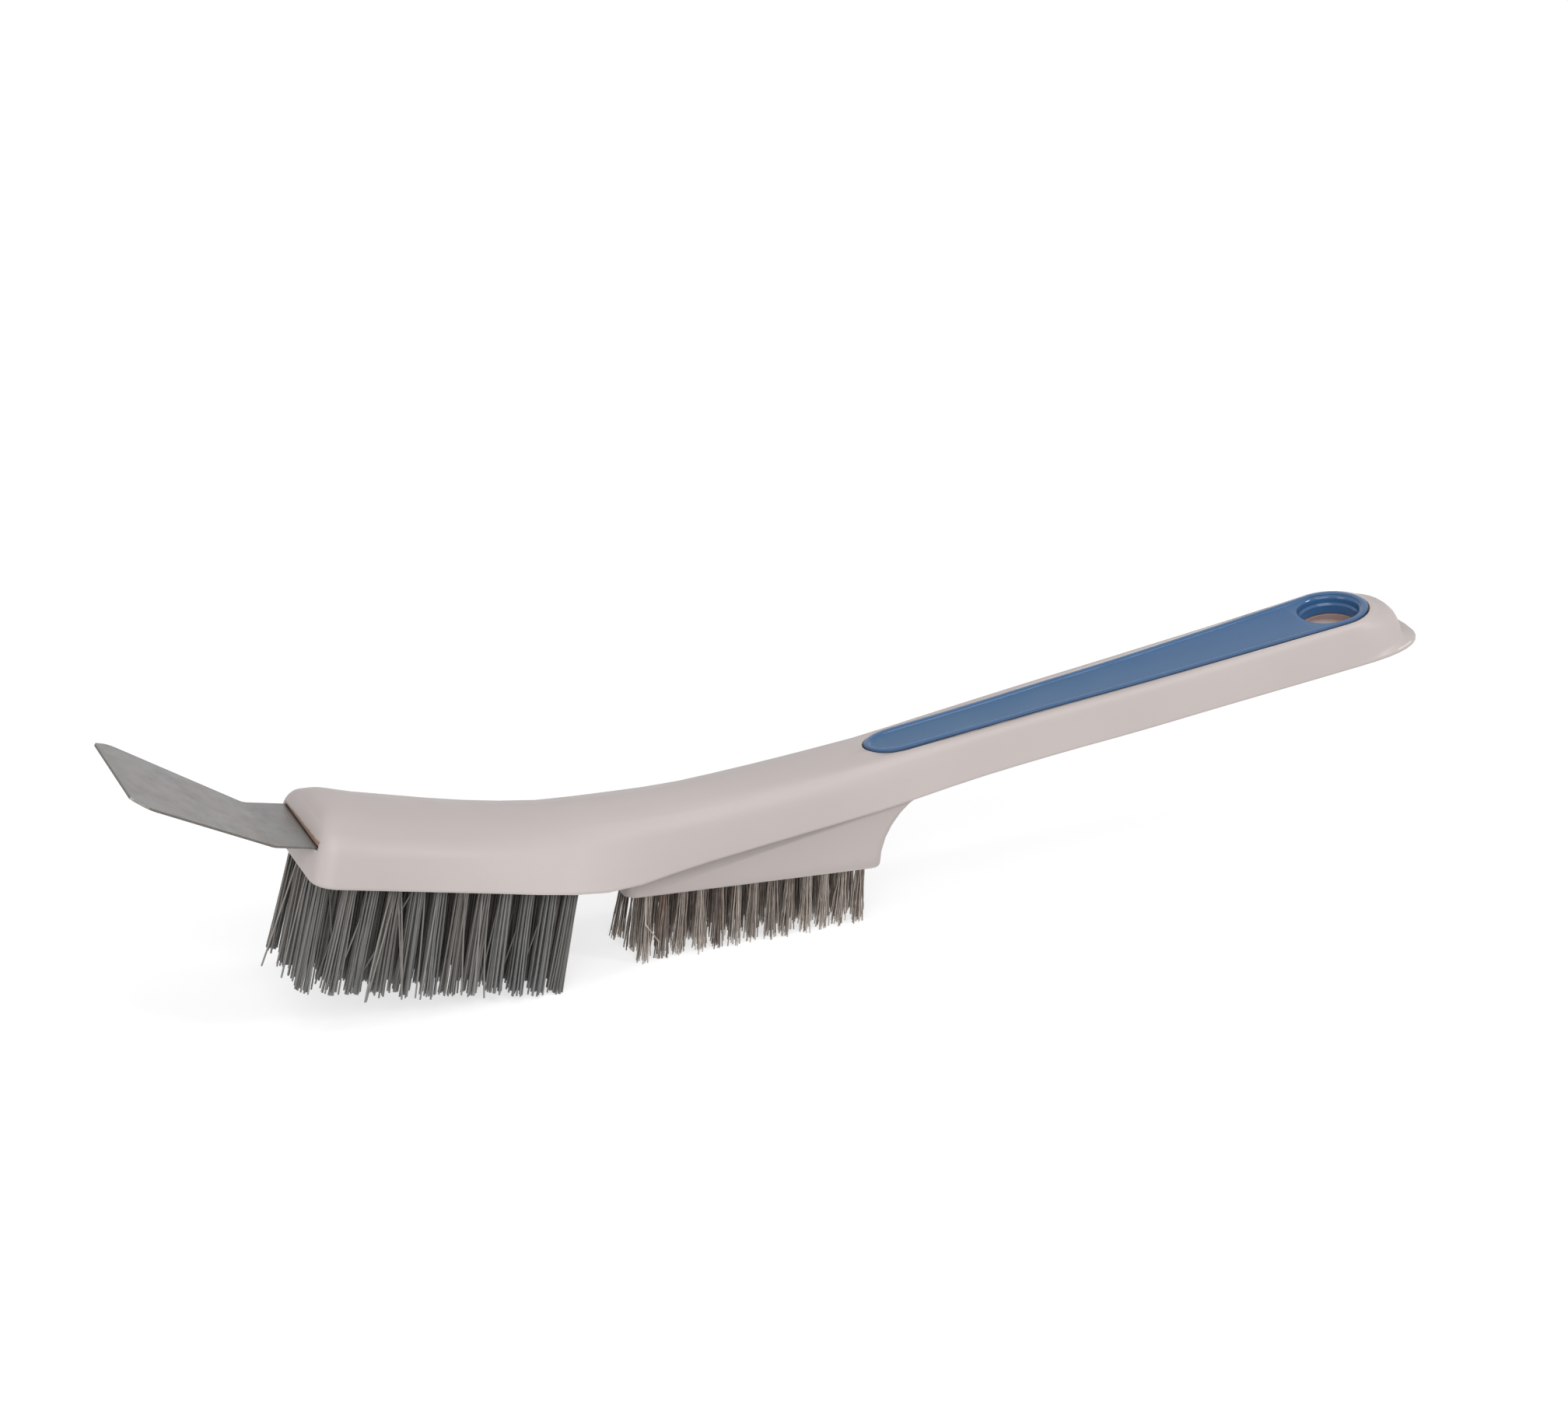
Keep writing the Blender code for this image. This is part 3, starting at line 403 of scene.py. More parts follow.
def rolled_steel(look):
    """Spring steel sheet, cold rolled: dull, mottled by water stains, with fine rolling lines."""
    material, tree, shader = new_material("rolled_steel_sheet")
    place = add_node(tree, "ShaderNodeTexCoord").outputs["Object"]
    # Stains are blotches of about 6 mm with ragged borders
    blotch = add_node(tree, "ShaderNodeTexNoise", {"Vector": place, "Scale": per_mm(6),
                                                   "Detail": 7.0, "Roughness": 0.72})
    stain = add_node(tree, "ShaderNodeMapRange", {"Value": blotch.outputs["Fac"], "From Min": 0.50,
                                                   "From Max": 0.74, "To Min": 0.0, "To Max": 0.6})
    # Bluer and browner patches alternate over about 14 mm
    drift = add_node(tree, "ShaderNodeTexNoise", {"Vector": place, "Scale": per_mm(14),
                                                  "Detail": 2.0})
    patch = add_node(tree, "ShaderNodeMapRange", {"Value": drift.outputs["Fac"], "From Min": 0.4,
                                                   "From Max": 0.6, "To Min": 0.0, "To Max": 1.0})
    sheet = add_node(tree, "ShaderNodeMix", {0: patch.outputs["Result"], COLOUR_A: (*look.sheet, 1),
                                              COLOUR_B: (*look.cool, 1)}, data_type="RGBA")
    base = add_node(tree, "ShaderNodeMix", {0: stain.outputs["Result"],
                                            COLOUR_A: sheet.outputs[COLOUR_OUT],
                                            COLOUR_B: (*look.stain, 1)}, data_type="RGBA")
    # Rolling lines along the sheet, drawn 0.5 mm apart, coarser than real ones, so that they show
    drawn = add_node(tree, "ShaderNodeMapping", {"Vector": place, "Scale": (0.04, 1.0, 0.04)})
    lines = add_node(tree, "ShaderNodeTexNoise", {"Vector": drawn.outputs["Vector"],
                                                  "Scale": per_mm(0.5), "Detail": 4.0,
                                                  "Roughness": 0.7})
    streak = add_node(tree, "ShaderNodeMapRange", {"Value": lines.outputs["Fac"], "From Min": 0.3,
                                                   "From Max": 0.7, "To Min": 0.985,
                                                   "To Max": 1.015})
    toned = add_node(tree, "ShaderNodeVectorMath", {0: base.outputs[COLOUR_OUT],
                                                    "Scale": streak.outputs["Result"]},
                     operation="SCALE")
    tree.links.new(toned.outputs["Vector"], shader.inputs["Base Color"])
    gloss = add_node(tree, "ShaderNodeMapRange", {"Value": blotch.outputs["Fac"], "From Min": 0.3,
                                                  "From Max": 0.7, "To Min": 0.36, "To Max": 0.5})
    tree.links.new(gloss.outputs["Result"], shader.inputs["Roughness"])
    bump = add_node(tree, "ShaderNodeBump", {"Height": lines.outputs["Fac"], "Strength": 0.2,
                                              "Distance": 0.00002})
    tree.links.new(bump.outputs["Normal"], shader.inputs["Normal"])
    shader.inputs["Metallic"].default_value = 1.0
    return material


def cut_steel(name, code, roughness):
    """Steel sheet where it was cut or ground: fine marks run across its thickness."""
    material, tree, shader = new_material(name)
    place = add_node(tree, "ShaderNodeTexCoord").outputs["Object"]
    # Marks of the shears, 0.4 mm apart
    drawn = add_node(tree, "ShaderNodeMapping", {"Vector": place, "Scale": (1.0, 1.0, 0.1)})
    marks = add_node(tree, "ShaderNodeTexNoise", {"Vector": drawn.outputs["Vector"],
                                                  "Scale": per_mm(0.4), "Detail": 2.0})
    tone = add_node(tree, "ShaderNodeMapRange", {"Value": marks.outputs["Fac"], "From Min": 0.3,
                                                 "From Max": 0.7, "To Min": 0.85, "To Max": 1.1})
    base = add_node(tree, "ShaderNodeVectorMath", {0: code, "Scale": tone.outputs["Result"]},
                    operation="SCALE")
    tree.links.new(base.outputs["Vector"], shader.inputs["Base Color"])
    shader.inputs["Metallic"].default_value = 1.0
    shader.inputs["Roughness"].default_value = roughness
    return material


def nylon_filament(look):
    """Nylon 6, extruded filament: waxy, a little dusty, no two quite alike in tone or hue."""
    material, tree, shader = new_material("extruded_nylon_filament")
    shade = add_node(tree, "ShaderNodeAttribute", attribute_name="shade").outputs["Fac"]
    warmth = add_node(tree, "ShaderNodeAttribute", attribute_name="warmth").outputs["Fac"]
    hue = add_node(tree, "ShaderNodeMix", {0: warmth, COLOUR_A: (*look.cool, 1),
                                           COLOUR_B: (*look.warm, 1)}, data_type="RGBA")
    level = add_node(tree, "ShaderNodeMapRange", {"Value": shade, "From Min": 0.0, "From Max": 1.0,
                                                   "To Min": 0.55, "To Max": 1.45})
    toned = add_node(tree, "ShaderNodeVectorMath", {0: hue.outputs[COLOUR_OUT],
                                                    "Scale": level.outputs["Result"]},
                     operation="SCALE")
    # Dust clings in streaks 3 mm long
    place = add_node(tree, "ShaderNodeTexCoord").outputs["Object"]
    dust = add_node(tree, "ShaderNodeTexNoise", {"Vector": place, "Scale": per_mm(3),
                                                 "Detail": 3.0})
    cling = add_node(tree, "ShaderNodeMapRange", {"Value": dust.outputs["Fac"], "From Min": 0.3,
                                                  "From Max": 0.7, "To Min": 0.9, "To Max": 1.08})
    dusty = add_node(tree, "ShaderNodeVectorMath", {0: toned.outputs["Vector"],
                                                    "Scale": cling.outputs["Result"]},
                     operation="SCALE")
    tree.links.new(dusty.outputs["Vector"], shader.inputs["Base Color"])
    shader.inputs["Roughness"].default_value = 0.30
    shader.inputs["IOR"].default_value = 1.53
    return material


def drawn_wire(look):
    """Carbon steel wire, drawn and crimped: dull brown-grey, worn bright or rusty in places."""
    material, tree, shader = new_material("drawn_steel_wire")
    shade = add_node(tree, "ShaderNodeAttribute", attribute_name="shade").outputs["Fac"]
    rust = add_node(tree, "ShaderNodeAttribute", attribute_name="rust").outputs["Fac"]
    base = add_node(tree, "ShaderNodeMix", {0: shade, COLOUR_A: (*look.dark, 1),
                                            COLOUR_B: (*look.light, 1)}, data_type="RGBA")
    # Spots of dull oxide, about 1.5 mm long
    place = add_node(tree, "ShaderNodeTexCoord").outputs["Object"]
    spots = add_node(tree, "ShaderNodeTexNoise", {"Vector": place, "Scale": per_mm(1.5),
                                                  "Detail": 4.0})
    worn = add_node(tree, "ShaderNodeMapRange", {"Value": spots.outputs["Fac"], "From Min": 0.3,
                                                 "From Max": 0.7, "To Min": 0.82, "To Max": 1.15})
    toned = add_node(tree, "ShaderNodeVectorMath", {0: base.outputs[COLOUR_OUT],
                                                    "Scale": worn.outputs["Result"]},
                     operation="SCALE")
    rusted = add_node(tree, "ShaderNodeMix", {0: rust, COLOUR_A: toned.outputs["Vector"],
                                               COLOUR_B: (*look.rust, 1)}, data_type="RGBA")
    tree.links.new(rusted.outputs[COLOUR_OUT], shader.inputs["Base Color"])
    # Rust is no metal to the eye
    metal = add_node(tree, "ShaderNodeMapRange", {"Value": rust, "From Min": 0.0, "From Max": 1.0,
                                                   "To Min": 0.8, "To Max": 0.1})
    tree.links.new(metal.outputs["Result"], shader.inputs["Metallic"])
    shader.inputs["Roughness"].default_value = 0.42
    return material


def finished(name, bm, materials):
    """An object at the origin from a mesh that is already in its place."""
    mesh = bpy.data.meshes.new(name)
    bm.to_mesh(mesh)
    bm.free()
    for material in materials:
        mesh.materials.append(material)
    obj = bpy.data.objects.new(name, mesh)
    bpy.context.scene.collection.objects.link(obj)
    return obj


def merged_copy(node):
    """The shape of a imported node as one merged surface, without its slivers, which stop a bevel."""
    bm = bmesh.new()
    bm.from_mesh(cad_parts[node].data)
    bmesh.ops.remove_doubles(bm, verts=bm.verts, dist=3e-5)
    return bm


def mark_edges(bm, sharp, inner=False):
    """Marks the outer edges sharper than this angle, and if asked the inner ones, to be rounded."""
    weight = bm.edges.layers.float.new("bevel_weight_edge")
    for edge in bm.edges:
        if (inner or edge.is_convex) and edge.calc_face_angle(0) > sharp:
            edge[weight] = 1


def soften(obj, radius, edge_material=-1, clamp=True):
    """Rounds the marked edges and shades the rest smooth. Clamped radii fit the room there is."""
    obj.data.shade_smooth()
    obj.data.set_sharp_from_angle(angle=CREASE)
    edges = obj.modifiers.new("softened_edges", "BEVEL")
    edges.width = radius
    edges.segments = 2
    edges.limit_method = "WEIGHT"
    edges.harden_normals = True
    edges.material = edge_material
    edges.use_clamp_overlap = clamp


def stand_for(obj, node):
    """The piece rides on the brush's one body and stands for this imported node."""
    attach(obj, "root")
    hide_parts(node)


def field_faces(bm):
    """Faces of the inlay's sunken field: all that are reached from its middle over no crease."""
    upper = [face for face in bm.faces if face.normal.z > 0.9]
    low = min(vert.co.x for vert in bm.verts)

    def way_off(face):
        middle = face.calc_center_median()
        return abs(middle.y) + abs(middle.x - low - FIELD_PLACE)

    start = min(upper, key=way_off)
    found, open_faces = {start}, [start]
    while open_faces:
        face = open_faces.pop()
        for edge in face.edges:
            for other in edge.link_faces:
                if other not in found and edge.calc_face_angle(math.pi) < math.radians(20):
                    found.add(other)
                    open_faces.append(other)
    return found


def strand_template(sides, cuts):
    """A closed strand of radius 1 and length 1 along Z."""
    bm = bmesh.new()
    bmesh.ops.create_cone(bm, cap_ends=True, segments=sides, radius1=1, radius2=0.92, depth=1,
                          matrix=Matrix.Translation((0, 0, 0.5)))
    upright = [edge for edge in bm.edges if abs(edge.verts[0].co.z - edge.verts[1].co.z) > 0.5]
    bmesh.ops.subdivide_edges(bm, edges=upright, cuts=cuts, use_grid_fill=True)
    mesh = bpy.data.meshes.new("strand")
    bm.to_mesh(mesh)
    bm.free()
    return mesh


def add_strand(bm, template, path, radius, values):
    """A strand along a path from 0 to 1. Each layer has a value at its root and one at its tip."""
    before = len(bm.verts)
    bm.from_mesh(template)
    bm.verts.ensure_lookup_table()
    turn = (path(1) - path(0)).normalized().to_track_quat("Z", "Y")
    for vert in bm.verts[before:]:
        share = vert.co.z
        offset = turn @ Vector((vert.co.x * radius, vert.co.y * radius, 0))
        vert.co = path(share) + offset
        for layer, value in values.items():
            vert[layer] = min(max(value[0] + (value[1] - value[0]) * share, 0), 1)


def disc_points(count, rng):
    """Points spread evenly over a disc of radius 1, in the sunflower pattern, each a little off."""
    points = []
    for i in range(count):
        reach = math.sqrt((i + 0.5) / count)
        turn = i * math.pi * (3 - math.sqrt(5))
        points.append(Vector((reach * math.cos(turn) + rng.uniform(-0.06, 0.06),
                              reach * math.sin(turn) + rng.uniform(-0.06, 0.06), 0)))
    return points


def sideways(rng, size):
    """A random step across the face, most often smaller than this size."""
    return Vector((rng.gauss(0, size), rng.gauss(0, size), 0))


def backing_slice(bm, pitch, width):
    """The slice of the body that a row is set in, flush with the face."""
    size = Matrix.Diagonal((pitch, width, BACKING, 1))
    bmesh.ops.create_cube(bm, size=1, matrix=Matrix.Translation((0, 0, BACKING / 2)) @ size)
    for face in bm.faces:
        face.material_index = 1


def row_frame(start, tilt, along):
    """Frame of a row on a face that falls to the rear: X along the face, Z up into the body."""
    slope = Matrix.Rotation(tilt, 4, "Y")
    return Matrix.Translation(start) @ slope @ Matrix.Translation((along, 0, 0))


def finish_row(name, node, bm, place, materials):
    """Puts a row in its place, and stops on the floor the strands that would reach through it."""
    bmesh.ops.transform(bm, matrix=place, verts=bm.verts)
    for vert in bm.verts:
        vert.co.z = max(vert.co.z, 0)
    obj = finished(name, bm, materials)
    obj.data.shade_smooth()
    # The sides of a strand meet at 60 or 72 degrees and are shaded round; its end stays sharp
    obj.data.set_sharp_from_angle(angle=math.radians(75))
    stand_for(obj, node)


def nylon_row(look, row, lines, template, materials, rng):
    """One row: each tuft is a bundle that opens towards its tips, with a few stray filaments."""
    bm = bmesh.new()
    shade = bm.verts.layers.float.new("shade")
    warmth = bm.verts.layers.float.new("warmth")
    backing_slice(bm, look.pitch,
                  (len(lines) - 1) * look.line_pitch + NYLON_TUFT_WIDTH + 2 * POCKET_GAP)
    for line in lines:
        middle = Vector((0, line * look.line_pitch, BACKING / 2))
        nearest = line == lines[0]
        splay = look.splay * (SPLAY_SHARES[row] if nearest else 1)
        reach = look.reach * LENGTH_SHARES[row]
        # Tufts differ in tone and hue, and each has its own slight lean
        tuft_shade = rng.uniform(-TUFT_TONE, TUFT_TONE)
        # Far lines are browner, a painted shade for the gaps between the nearer tufts
        tuft_warmth = rng.uniform(-TUFT_HUE, TUFT_HUE) + FAR_SHADE_HUE * line
        lean = look.lean * LEAN_SHARES[row] + rng.uniform(-1, 1) * look.wobble
        lean += math.radians(PRESSED_TUFTS.get((row, line), 0))
        # The outer lines lean out, by half a degree for each line from the middle
        over = math.radians(0.5) * line + rng.uniform(-1, 1) * look.wobble
        way = Vector((-math.tan(lean), math.tan(over), -1))
        for spot in disc_points(look.count, rng):
            root = middle + spot * look.hole
            stray = rng.random() < NYLON_STRAYS
            stretch = reach + BACKING / 2 + look.wander * rng.uniform(-1, 1) * (2 if stray else 1)
            drift = sideways(rng, math.tan(splay) * reach * (STRAY_SPLAY if stray else 1))
            tip = root + way * stretch + spot * look.spread + drift
            tip.y = min(max(tip.y, -look.border), look.border)
            bow = sideways(rng, look.bow * (2 if stray else 1))

            def path(t, root=root, tip=tip, bow=bow):
                return root.lerp(tip, t) + bow * (4 * t * (1 - t))

            tone = rng.gauss(0.5, FILAMENT_TONE) + tuft_shade + (STRAY_PALER if stray else 0)
            hue = rng.gauss(0.5, FILAMENT_HUE) + tuft_warmth
            # Painted shade: filaments are darker and browner at their roots, under the head,
            # and paler and bluer towards their tips
            add_strand(bm, template, path, look.filament / 2,
                       {shade: (tone - 0.08, tone + 0.08), warmth: (hue + 0.1, hue - 0.1)})
    place = row_frame(HEAD_FACE, HEAD_FACE_TILT, look.first + row * look.pitch)
    finish_row(f"nylon_tufts_{row + 1:02d}", f"nylon_row_{row + 1:02d}", bm, place,
               materials)


def wire_row(look, row, template, materials, rng):
    """One row of three tufts: crimped wires of uneven length, a few of them bent aside or rusty."""
    bm = bmesh.new()
    shade = bm.verts.layers.float.new("shade")
    rust = bm.verts.layers.float.new("rust")
    backing_slice(bm, look.pitch, 2 * look.line_pitch + WIRE_TUFT_WIDTH + 2 * POCKET_GAP)
    place = row_frame(PAD_FACE, PAD_FACE_TILT, look.first + row * look.pitch)
    for line in (-1, 0, 1):
        middle = Vector((0, line * look.line_pitch, BACKING / 2))
        ground = (place @ middle).z
        rusty = (row, line) == RUSTY_TUFT
        pressed = math.tan(look.lean) * max(1 - row / PRESSED_ROWS, 0) * ground
        lean = sideways(rng, WIRE_STEP) - Vector((pressed, 0, 0))
        tuft_shade = rng.uniform(-WIRE_TUFT_TONE, WIRE_TUFT_TONE)
        for spot in disc_points(look.count, rng):
            root = middle + spot * look.hole
            stray = rng.random() < WIRE_STRAYS
            # The longest wires reach the floor, and the others are worn shorter
            reach = ground + 0.0002 - look.wander * rng.random() ** 1.5
            step = WIRE_STRAY_STEP if stray else WIRE_STEP
            tip = root + spot * look.spread + sideways(rng, step) + lean
            tip.z -= reach
            turns, phase = rng.uniform(1.8, 2.8), rng.uniform(0, math.tau)
            facing, swing = rng.uniform(0, math.tau), rng.uniform(0.4, 1.3)
            crimp = Vector((math.cos(facing), math.sin(facing), 0)) * look.crimp * swing

            def path(t, root=root, tip=tip, crimp=crimp, turns=turns, phase=phase):
                swung = crimp * math.sin(math.tau * turns * t + phase)
                return root.lerp(tip, t) + swung * min(4 * t, 1)

            tone = rng.gauss(WIRE_TONE, WIRE_TONE_SPREAD) + tuft_shade
            tone += WIRE_STRAY_BRIGHTER if stray else 0
            if rusty and spot.x < 0:
                rusted = RUST_SHARE * rng.uniform(0.5, 1)
            else:
                # Few of the other wires have more than a trace of rust
                rusted = rng.random() ** 8 * 0.4
            # Tips are worn bright, and rust starts at the roots
            add_strand(bm, template, path, look.wire / 2,
                       {shade: (tone - 0.05, tone + 0.1), rust: (rusted, 0)})
    if row == 1:
        add_bent_wire(bm, template, look, shade)
    finish_row(f"wire_tufts_{row + 1:02d}", f"wire_row_{row + 1:02d}", bm, place,
               materials)


def add_bent_wire(bm, template, look, shade):
    """A bright wire bent aside to the rear, halfway down the nearest tuft, drawn a little wider."""
    root = Vector((-0.0056, -look.line_pitch - look.hole - look.wire, 0))
    knee = root + Vector((-0.0002, -0.0010, -0.0080))
    tip = knee + Vector((0.0038, -0.0004, -0.0052))

    def path(t):
        if t < 0.6:
            return root.lerp(knee, t / 0.6)
        return knee.lerp(tip, (t - 0.6) / 0.4)

    add_strand(bm, template, path, look.wire * 0.7, {shade: (0.6, 1.6)})


def turn_on(obj, location, target):
    """Puts a lamp in its place, looking at a point."""
    obj.location = location
    obj.rotation_euler = (Vector(target) - Vector(location)).to_track_quat("-Z", "Y").to_euler()
    bpy.context.scene.collection.objects.link(obj)


def add_softbox(name, location, size, watts):
    """A rectangular lamp that looks at the brush."""
    lamp = bpy.data.lights.new(name, "AREA")
    lamp.shape = "RECTANGLE"
    lamp.size, lamp.size_y = size
    lamp.energy = watts
    turn_on(bpy.data.objects.new(name, lamp), location, LAMP_TARGET)


def seen_share(tree):
    """1 on camera, glossy and transmission rays, else 0: these see a plain white studio."""
    path = add_node(tree, "ShaderNodeLightPath")
    seen = path.outputs["Is Camera Ray"]
    for kind in ("Is Glossy Ray", "Is Transmission Ray"):
        seen = add_node(tree, "ShaderNodeMath", {0: seen, 1: path.outputs[kind]},
                        operation="MAXIMUM").outputs["Value"]
    return seen


def pale_floor(look):
    """Matt paper sweep: nearly white, it keeps a soft shadow."""
    material, tree, shader = new_material("matt_paper_floor")
    # Fibres of the paper, drawn 2 mm wide so that they could show
    place = add_node(tree, "ShaderNodeTexCoord").outputs["Object"]
    fibres = add_node(tree, "ShaderNodeTexNoise", {"Vector": place, "Scale": per_mm(2),
                                                   "Detail": 2.0})
    tone = add_node(tree, "ShaderNodeMapRange", {"Value": fibres.outputs["Fac"], "From Min": 0.3,
                                                 "From Max": 0.7, "To Min": 0.995, "To Max": 1.005})
    base = add_node(tree, "ShaderNodeVectorMath", {0: look.floor, "Scale": tone.outputs["Result"]},
                    operation="SCALE")
    tree.links.new(base.outputs["Vector"], shader.inputs["Base Color"])
    shader.inputs["Roughness"].default_value = 0.8
    shader.inputs["Specular IOR Level"].default_value = 0.1
    lift = add_node(tree, "ShaderNodeMath", {0: seen_share(tree), 1: 0.65}, operation="MULTIPLY")
    tree.links.new(lift.outputs["Value"], shader.inputs["Emission Strength"])
    shader.inputs["Emission Color"].default_value = (1, 1, 1, 1)
    return material


class GRILLBRUSH_OT_body(bpy.types.Operator):
    """Gives the moulded body its smooth surface, its plastic and a painted highlight on its rims."""

    bl_idname = "grillbrush.body"
    bl_label = "Body"

    def execute(self, context):
        look = context.scene.grill_brush.moulded
        bm = merged_copy("body")
        # The rims are a row of narrow faces that look down and out; they and the rounded edges get
        # a paler colour, a painted highlight
        for face in bm.faces:
            width = min(edge.calc_length() for edge in face.edges)
            if -0.95 < face.normal.z < -0.25 and width < 0.0005:
                face.material_index = 1
        mark_edges(bm, BODY_CREASE)
        grey = moulded_plastic(look, "moulded_grey_polypropylene", look.body)
        tinted = moulded_plastic(look, "grey_polypropylene_painted_highlight", look.rim_highlight)
        obj = finished("moulded_body", bm, [grey, tinted])
        soften(obj, look.edge, edge_material=1, clamp=False)
        stand_for(obj, "body")
        return {"FINISHED"}


class GRILLBRUSH_OT_insert(bpy.types.Operator):
    """Gives the inlay its glossy border and bore, grained field and painted shade on its sides."""

    bl_idname = "grillbrush.insert"
    bl_label = "Inlay"

    def execute(self, context):
        look = context.scene.grill_brush.moulded
        bm = merged_copy("handle_insert")
        for face in field_faces(bm):
            face.material_index = 1
        for face in bm.faces:
            middle = face.calc_center_median()
            # The bore's wall is polished; the other walls get a dark colour, a painted shade for the
            # seam
            away = math.hypot(middle.x - HOLE_PLACE, middle.y)
            if away < BORE_REACH and face.normal.z < 0.9:
                face.material_index = 2
            elif abs(face.normal.z) < 0.6:
                face.material_index = 3
        mark_edges(bm, CREASE, inner=True)
        border = inlay_plastic(look, "moulded_blue_abs", look.insert, look.insert, roughness=0.17,
                               grain_strength=0.05)
        field = inlay_plastic(look, "grained_blue_abs", look.field, look.field_rear, roughness=0.40,
                              grain_strength=0.5)
        bore = inlay_plastic(look, "polished_blue_abs", look.bore, look.bore, roughness=0.14,
                             grain_strength=0.03)
        painted_seam_shade = inlay_plastic(look, "blue_abs_painted_seam_shade", look.painted_seam_shade, look.painted_seam_shade, roughness=0.5,
                              grain_strength=0.5)
        obj = finished("inlay", bm, [border, field, bore, painted_seam_shade])
        soften(obj, look.edge / 2)
        stand_for(obj, "handle_insert")
        return {"FINISHED"}


class GRILLBRUSH_OT_scraper(bpy.types.Operator):
    """Gives the scraper its softened edges and its steel."""

    bl_idname = "grillbrush.scraper"
    bl_label = "Scraper"

    def execute(self, context):
        look = context.scene.grill_brush.steel
        bm = merged_copy("scraper_blade")
        # The corners that face forward and out are ground and brighter, partly a painted glint, and
        # the other edges were sheared
        for face in bm.faces:
            if abs(face.normal.z) < 0.6:
                face.material_index = 2 if face.normal.x < -0.2 and abs(face.normal.y) > 0.3 else 1
        mark_edges(bm, CREASE)
        obj = finished("scraper", bm, [rolled_steel(look),
                                       cut_steel("sheared_steel_edge", look.cut, roughness=0.5),
                                       cut_steel("ground_steel_corner_painted_glint", look.ground,
                                                 roughness=0.36)])
        soften(obj, look.edge)
        stand_for(obj, "scraper_blade")
        return {"FINISHED"}


class GRILLBRUSH_OT_nylon(bpy.types.Operator):
    """Makes the rows of nylon tufts, four tufts in the first row and five in each of the others."""

    bl_idname = "grillbrush.nylon"
    bl_label = "Nylon tufts"

    def execute(self, context):
        look = context.scene.grill_brush.nylon
        rng = random.Random(11)
        template = strand_template(sides=6, cuts=3)
        materials = [nylon_filament(look), bpy.data.materials["moulded_grey_polypropylene"]]
        for row in range(len(LENGTH_SHARES)):
            lines = (-2, -1, 0, 1, 2) if row else (-1.5, -0.5, 0.5, 1.5)
            nylon_row(look, row, lines, template, materials, rng)
        return {"FINISHED"}


class GRILLBRUSH_OT_wires(bpy.types.Operator):
    """Makes the rows of steel wire tufts, three in each row."""

    bl_idname = "grillbrush.wires"
    bl_label = "Wire tufts"

    def execute(self, context):
        look = context.scene.grill_brush.wires
        rng = random.Random(23)
        template = strand_template(sides=5, cuts=9)
        materials = [drawn_wire(look), bpy.data.materials["moulded_grey_polypropylene"]]
        for row in range(WIRE_ROWS):
            wire_row(look, row, template, materials, rng)
        return {"FINISHED"}


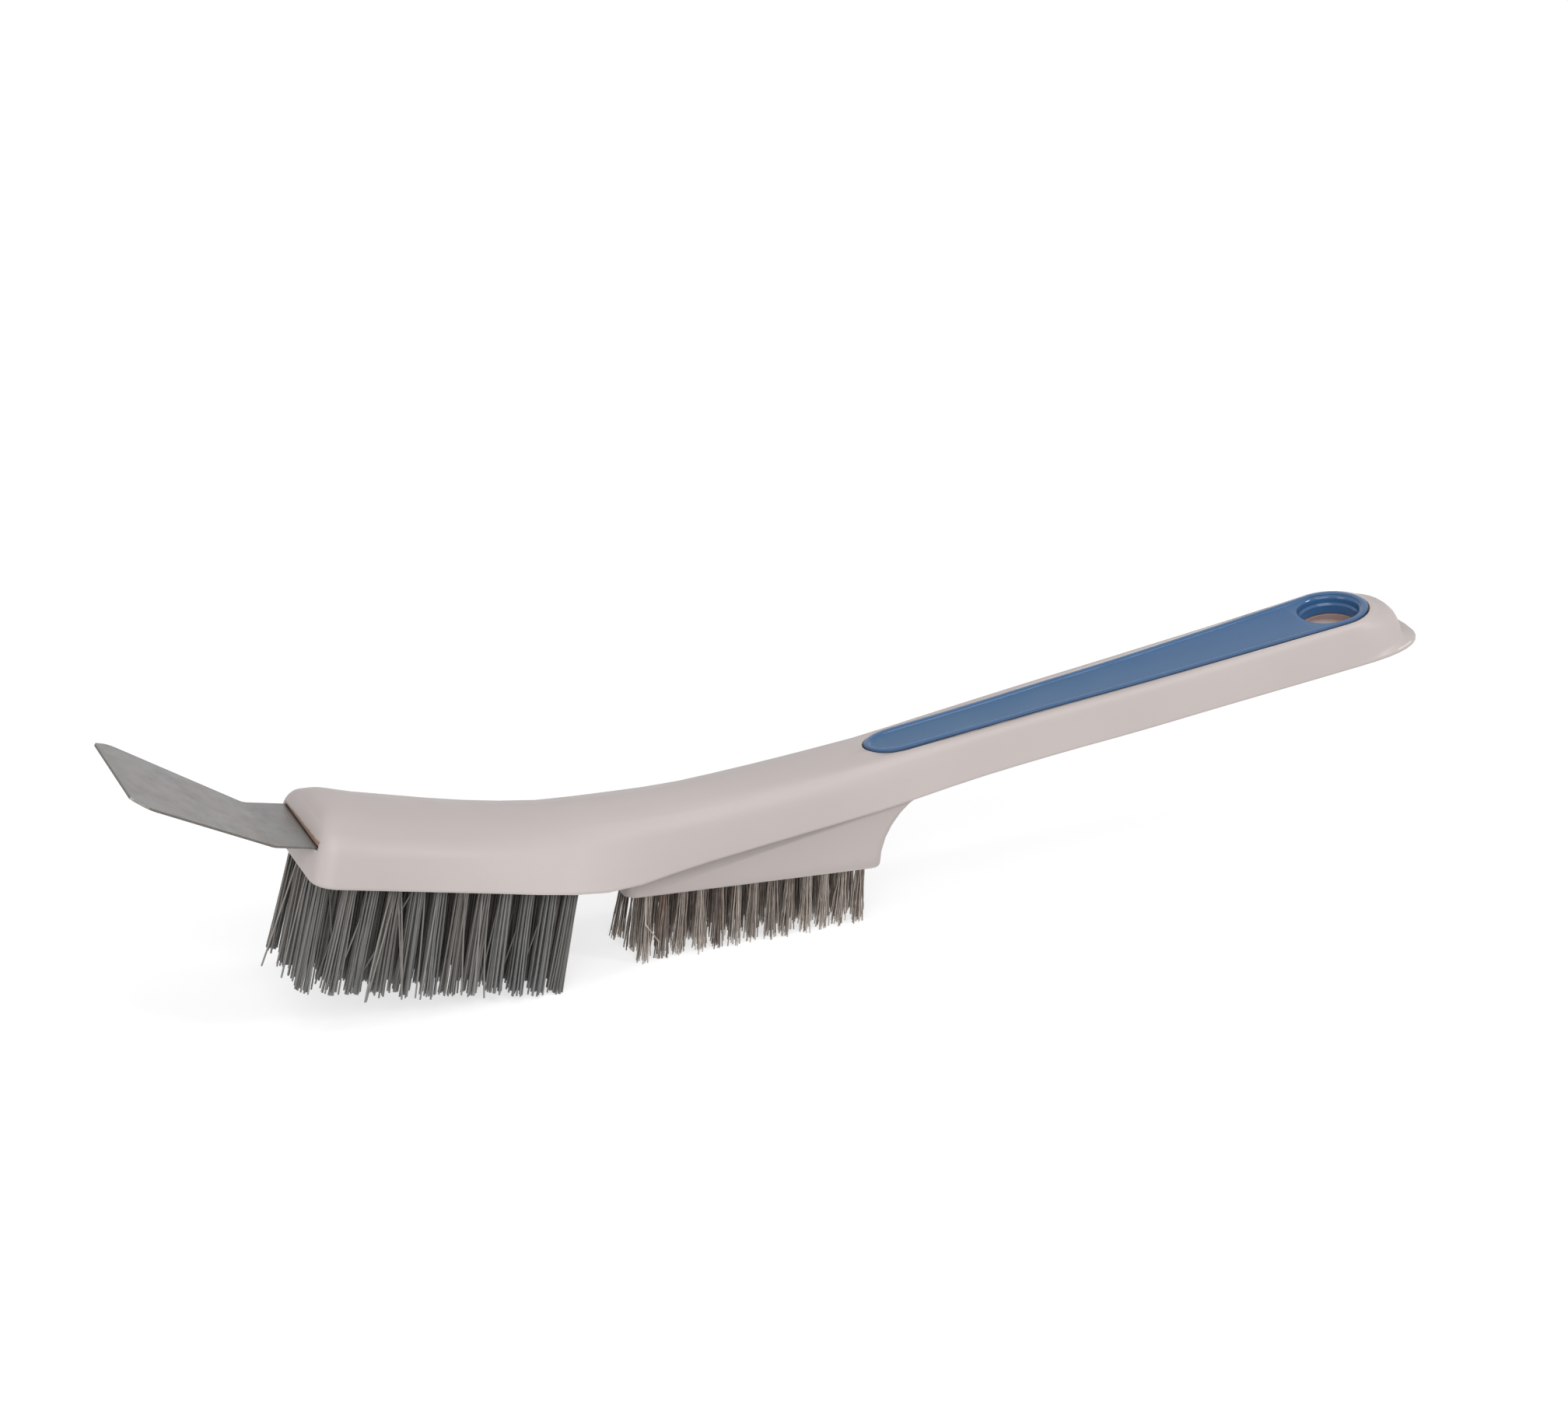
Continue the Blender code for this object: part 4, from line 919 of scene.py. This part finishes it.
class GRILLBRUSH_OT_stage(bpy.types.Operator):
    """Makes the floor, the studio light and the camera."""

    bl_idname = "grillbrush.stage"
    bl_label = "Stage"

    def execute(self, context):
        look = context.scene.grill_brush.studio
        bm = bmesh.new()
        bmesh.ops.create_grid(bm, x_segments=4, y_segments=4, size=4)
        floor = finished("floor", bm, [pale_floor(look)])

        world = bpy.data.worlds.new("studio")
        context.scene.world = world
        world.use_nodes = True
        tree = world.node_tree
        background = tree.nodes["Background"]
        level = add_node(tree, "ShaderNodeMix", {0: seen_share(tree), COLOUR_A: SURROUNDINGS,
                                                  COLOUR_B: (1, 1, 1, 1)}, data_type="RGBA")
        tree.links.new(level.outputs[COLOUR_OUT], background.inputs["Color"])
        # A broad key light from the camera's side
        key = bpy.data.lights.new("key_light", "SUN")
        key.angle = math.radians(50)
        key.energy = 1.25
        turn_on(bpy.data.objects.new("key_light", key), (-0.3, -1, 0.75), (0, 0, 0))
        for softbox in SOFTBOXES:
            add_softbox(*softbox)

        camera = bpy.data.cameras.new("camera")
        camera.lens = look.lens
        camera.sensor_width = SENSOR
        camera.clip_start = 0.05
        obj = bpy.data.objects.new("camera", camera)
        back = Vector((-math.sin(look.turn) * math.cos(look.rise),
                       -math.cos(look.turn) * math.cos(look.rise), math.sin(look.rise)))
        right = Vector((math.cos(look.turn), -math.sin(look.turn), 0))
        up = back.cross(right)
        across = (SET_ON_PIXEL[0] - PICTURE_WIDTH / 2) / PICTURE_WIDTH * SENSOR / look.lens
        down = (SET_ON_PIXEL[1] - PICTURE_HEIGHT / 2) / PICTURE_WIDTH * SENSOR / look.lens
        obj.location = SET_ON - (right * across - up * down - back) * look.distance
        obj.rotation_euler = Matrix((right, up, back)).transposed().to_euler()
        context.scene.collection.objects.link(obj)
        context.scene.camera = obj
        context.scene.view_settings.view_transform = "Standard"
        return {"FINISHED"}


class GRILLBRUSH_PT_panel(bpy.types.Panel):
    """Lists the steps and their settings."""

    bl_idname = "GRILLBRUSH_PT_panel"
    bl_label = "Grill Brush"
    bl_space_type = "VIEW_3D"
    bl_region_type = "UI"
    bl_category = "Grill Brush"

    def draw(self, context):
        layout = self.layout
        looks = context.scene.grill_brush
        for operator in OPERATORS:
            layout.operator(operator.bl_idname)
        for group in (looks.moulded, looks.steel, looks.nylon, looks.wires, looks.studio):
            box = layout.box()
            for name in group.__annotations__:
                box.prop(group, name)


GROUPS = (MouldedLook, SteelLook, NylonTufts, WireTufts, Studio, BrushLooks)
OPERATORS = (GRILLBRUSH_OT_body, GRILLBRUSH_OT_insert, GRILLBRUSH_OT_scraper, GRILLBRUSH_OT_nylon,
             GRILLBRUSH_OT_wires, GRILLBRUSH_OT_stage)
CLASSES = (*GROUPS, *OPERATORS, GRILLBRUSH_PT_panel)


def register():
    for cls in CLASSES:
        bpy.utils.register_class(cls)
    bpy.types.Scene.grill_brush = PointerProperty(name="Grill brush", type=BrushLooks)


def unregister():
    del bpy.types.Scene.grill_brush
    for cls in reversed(CLASSES):
        bpy.utils.unregister_class(cls)


def main():
    register()
    bpy.ops.grillbrush.body()
    bpy.ops.grillbrush.insert()
    bpy.ops.grillbrush.scraper()
    bpy.ops.grillbrush.nylon()
    bpy.ops.grillbrush.wires()
    bpy.ops.grillbrush.stage()


if __name__ == "__main__":
    main()
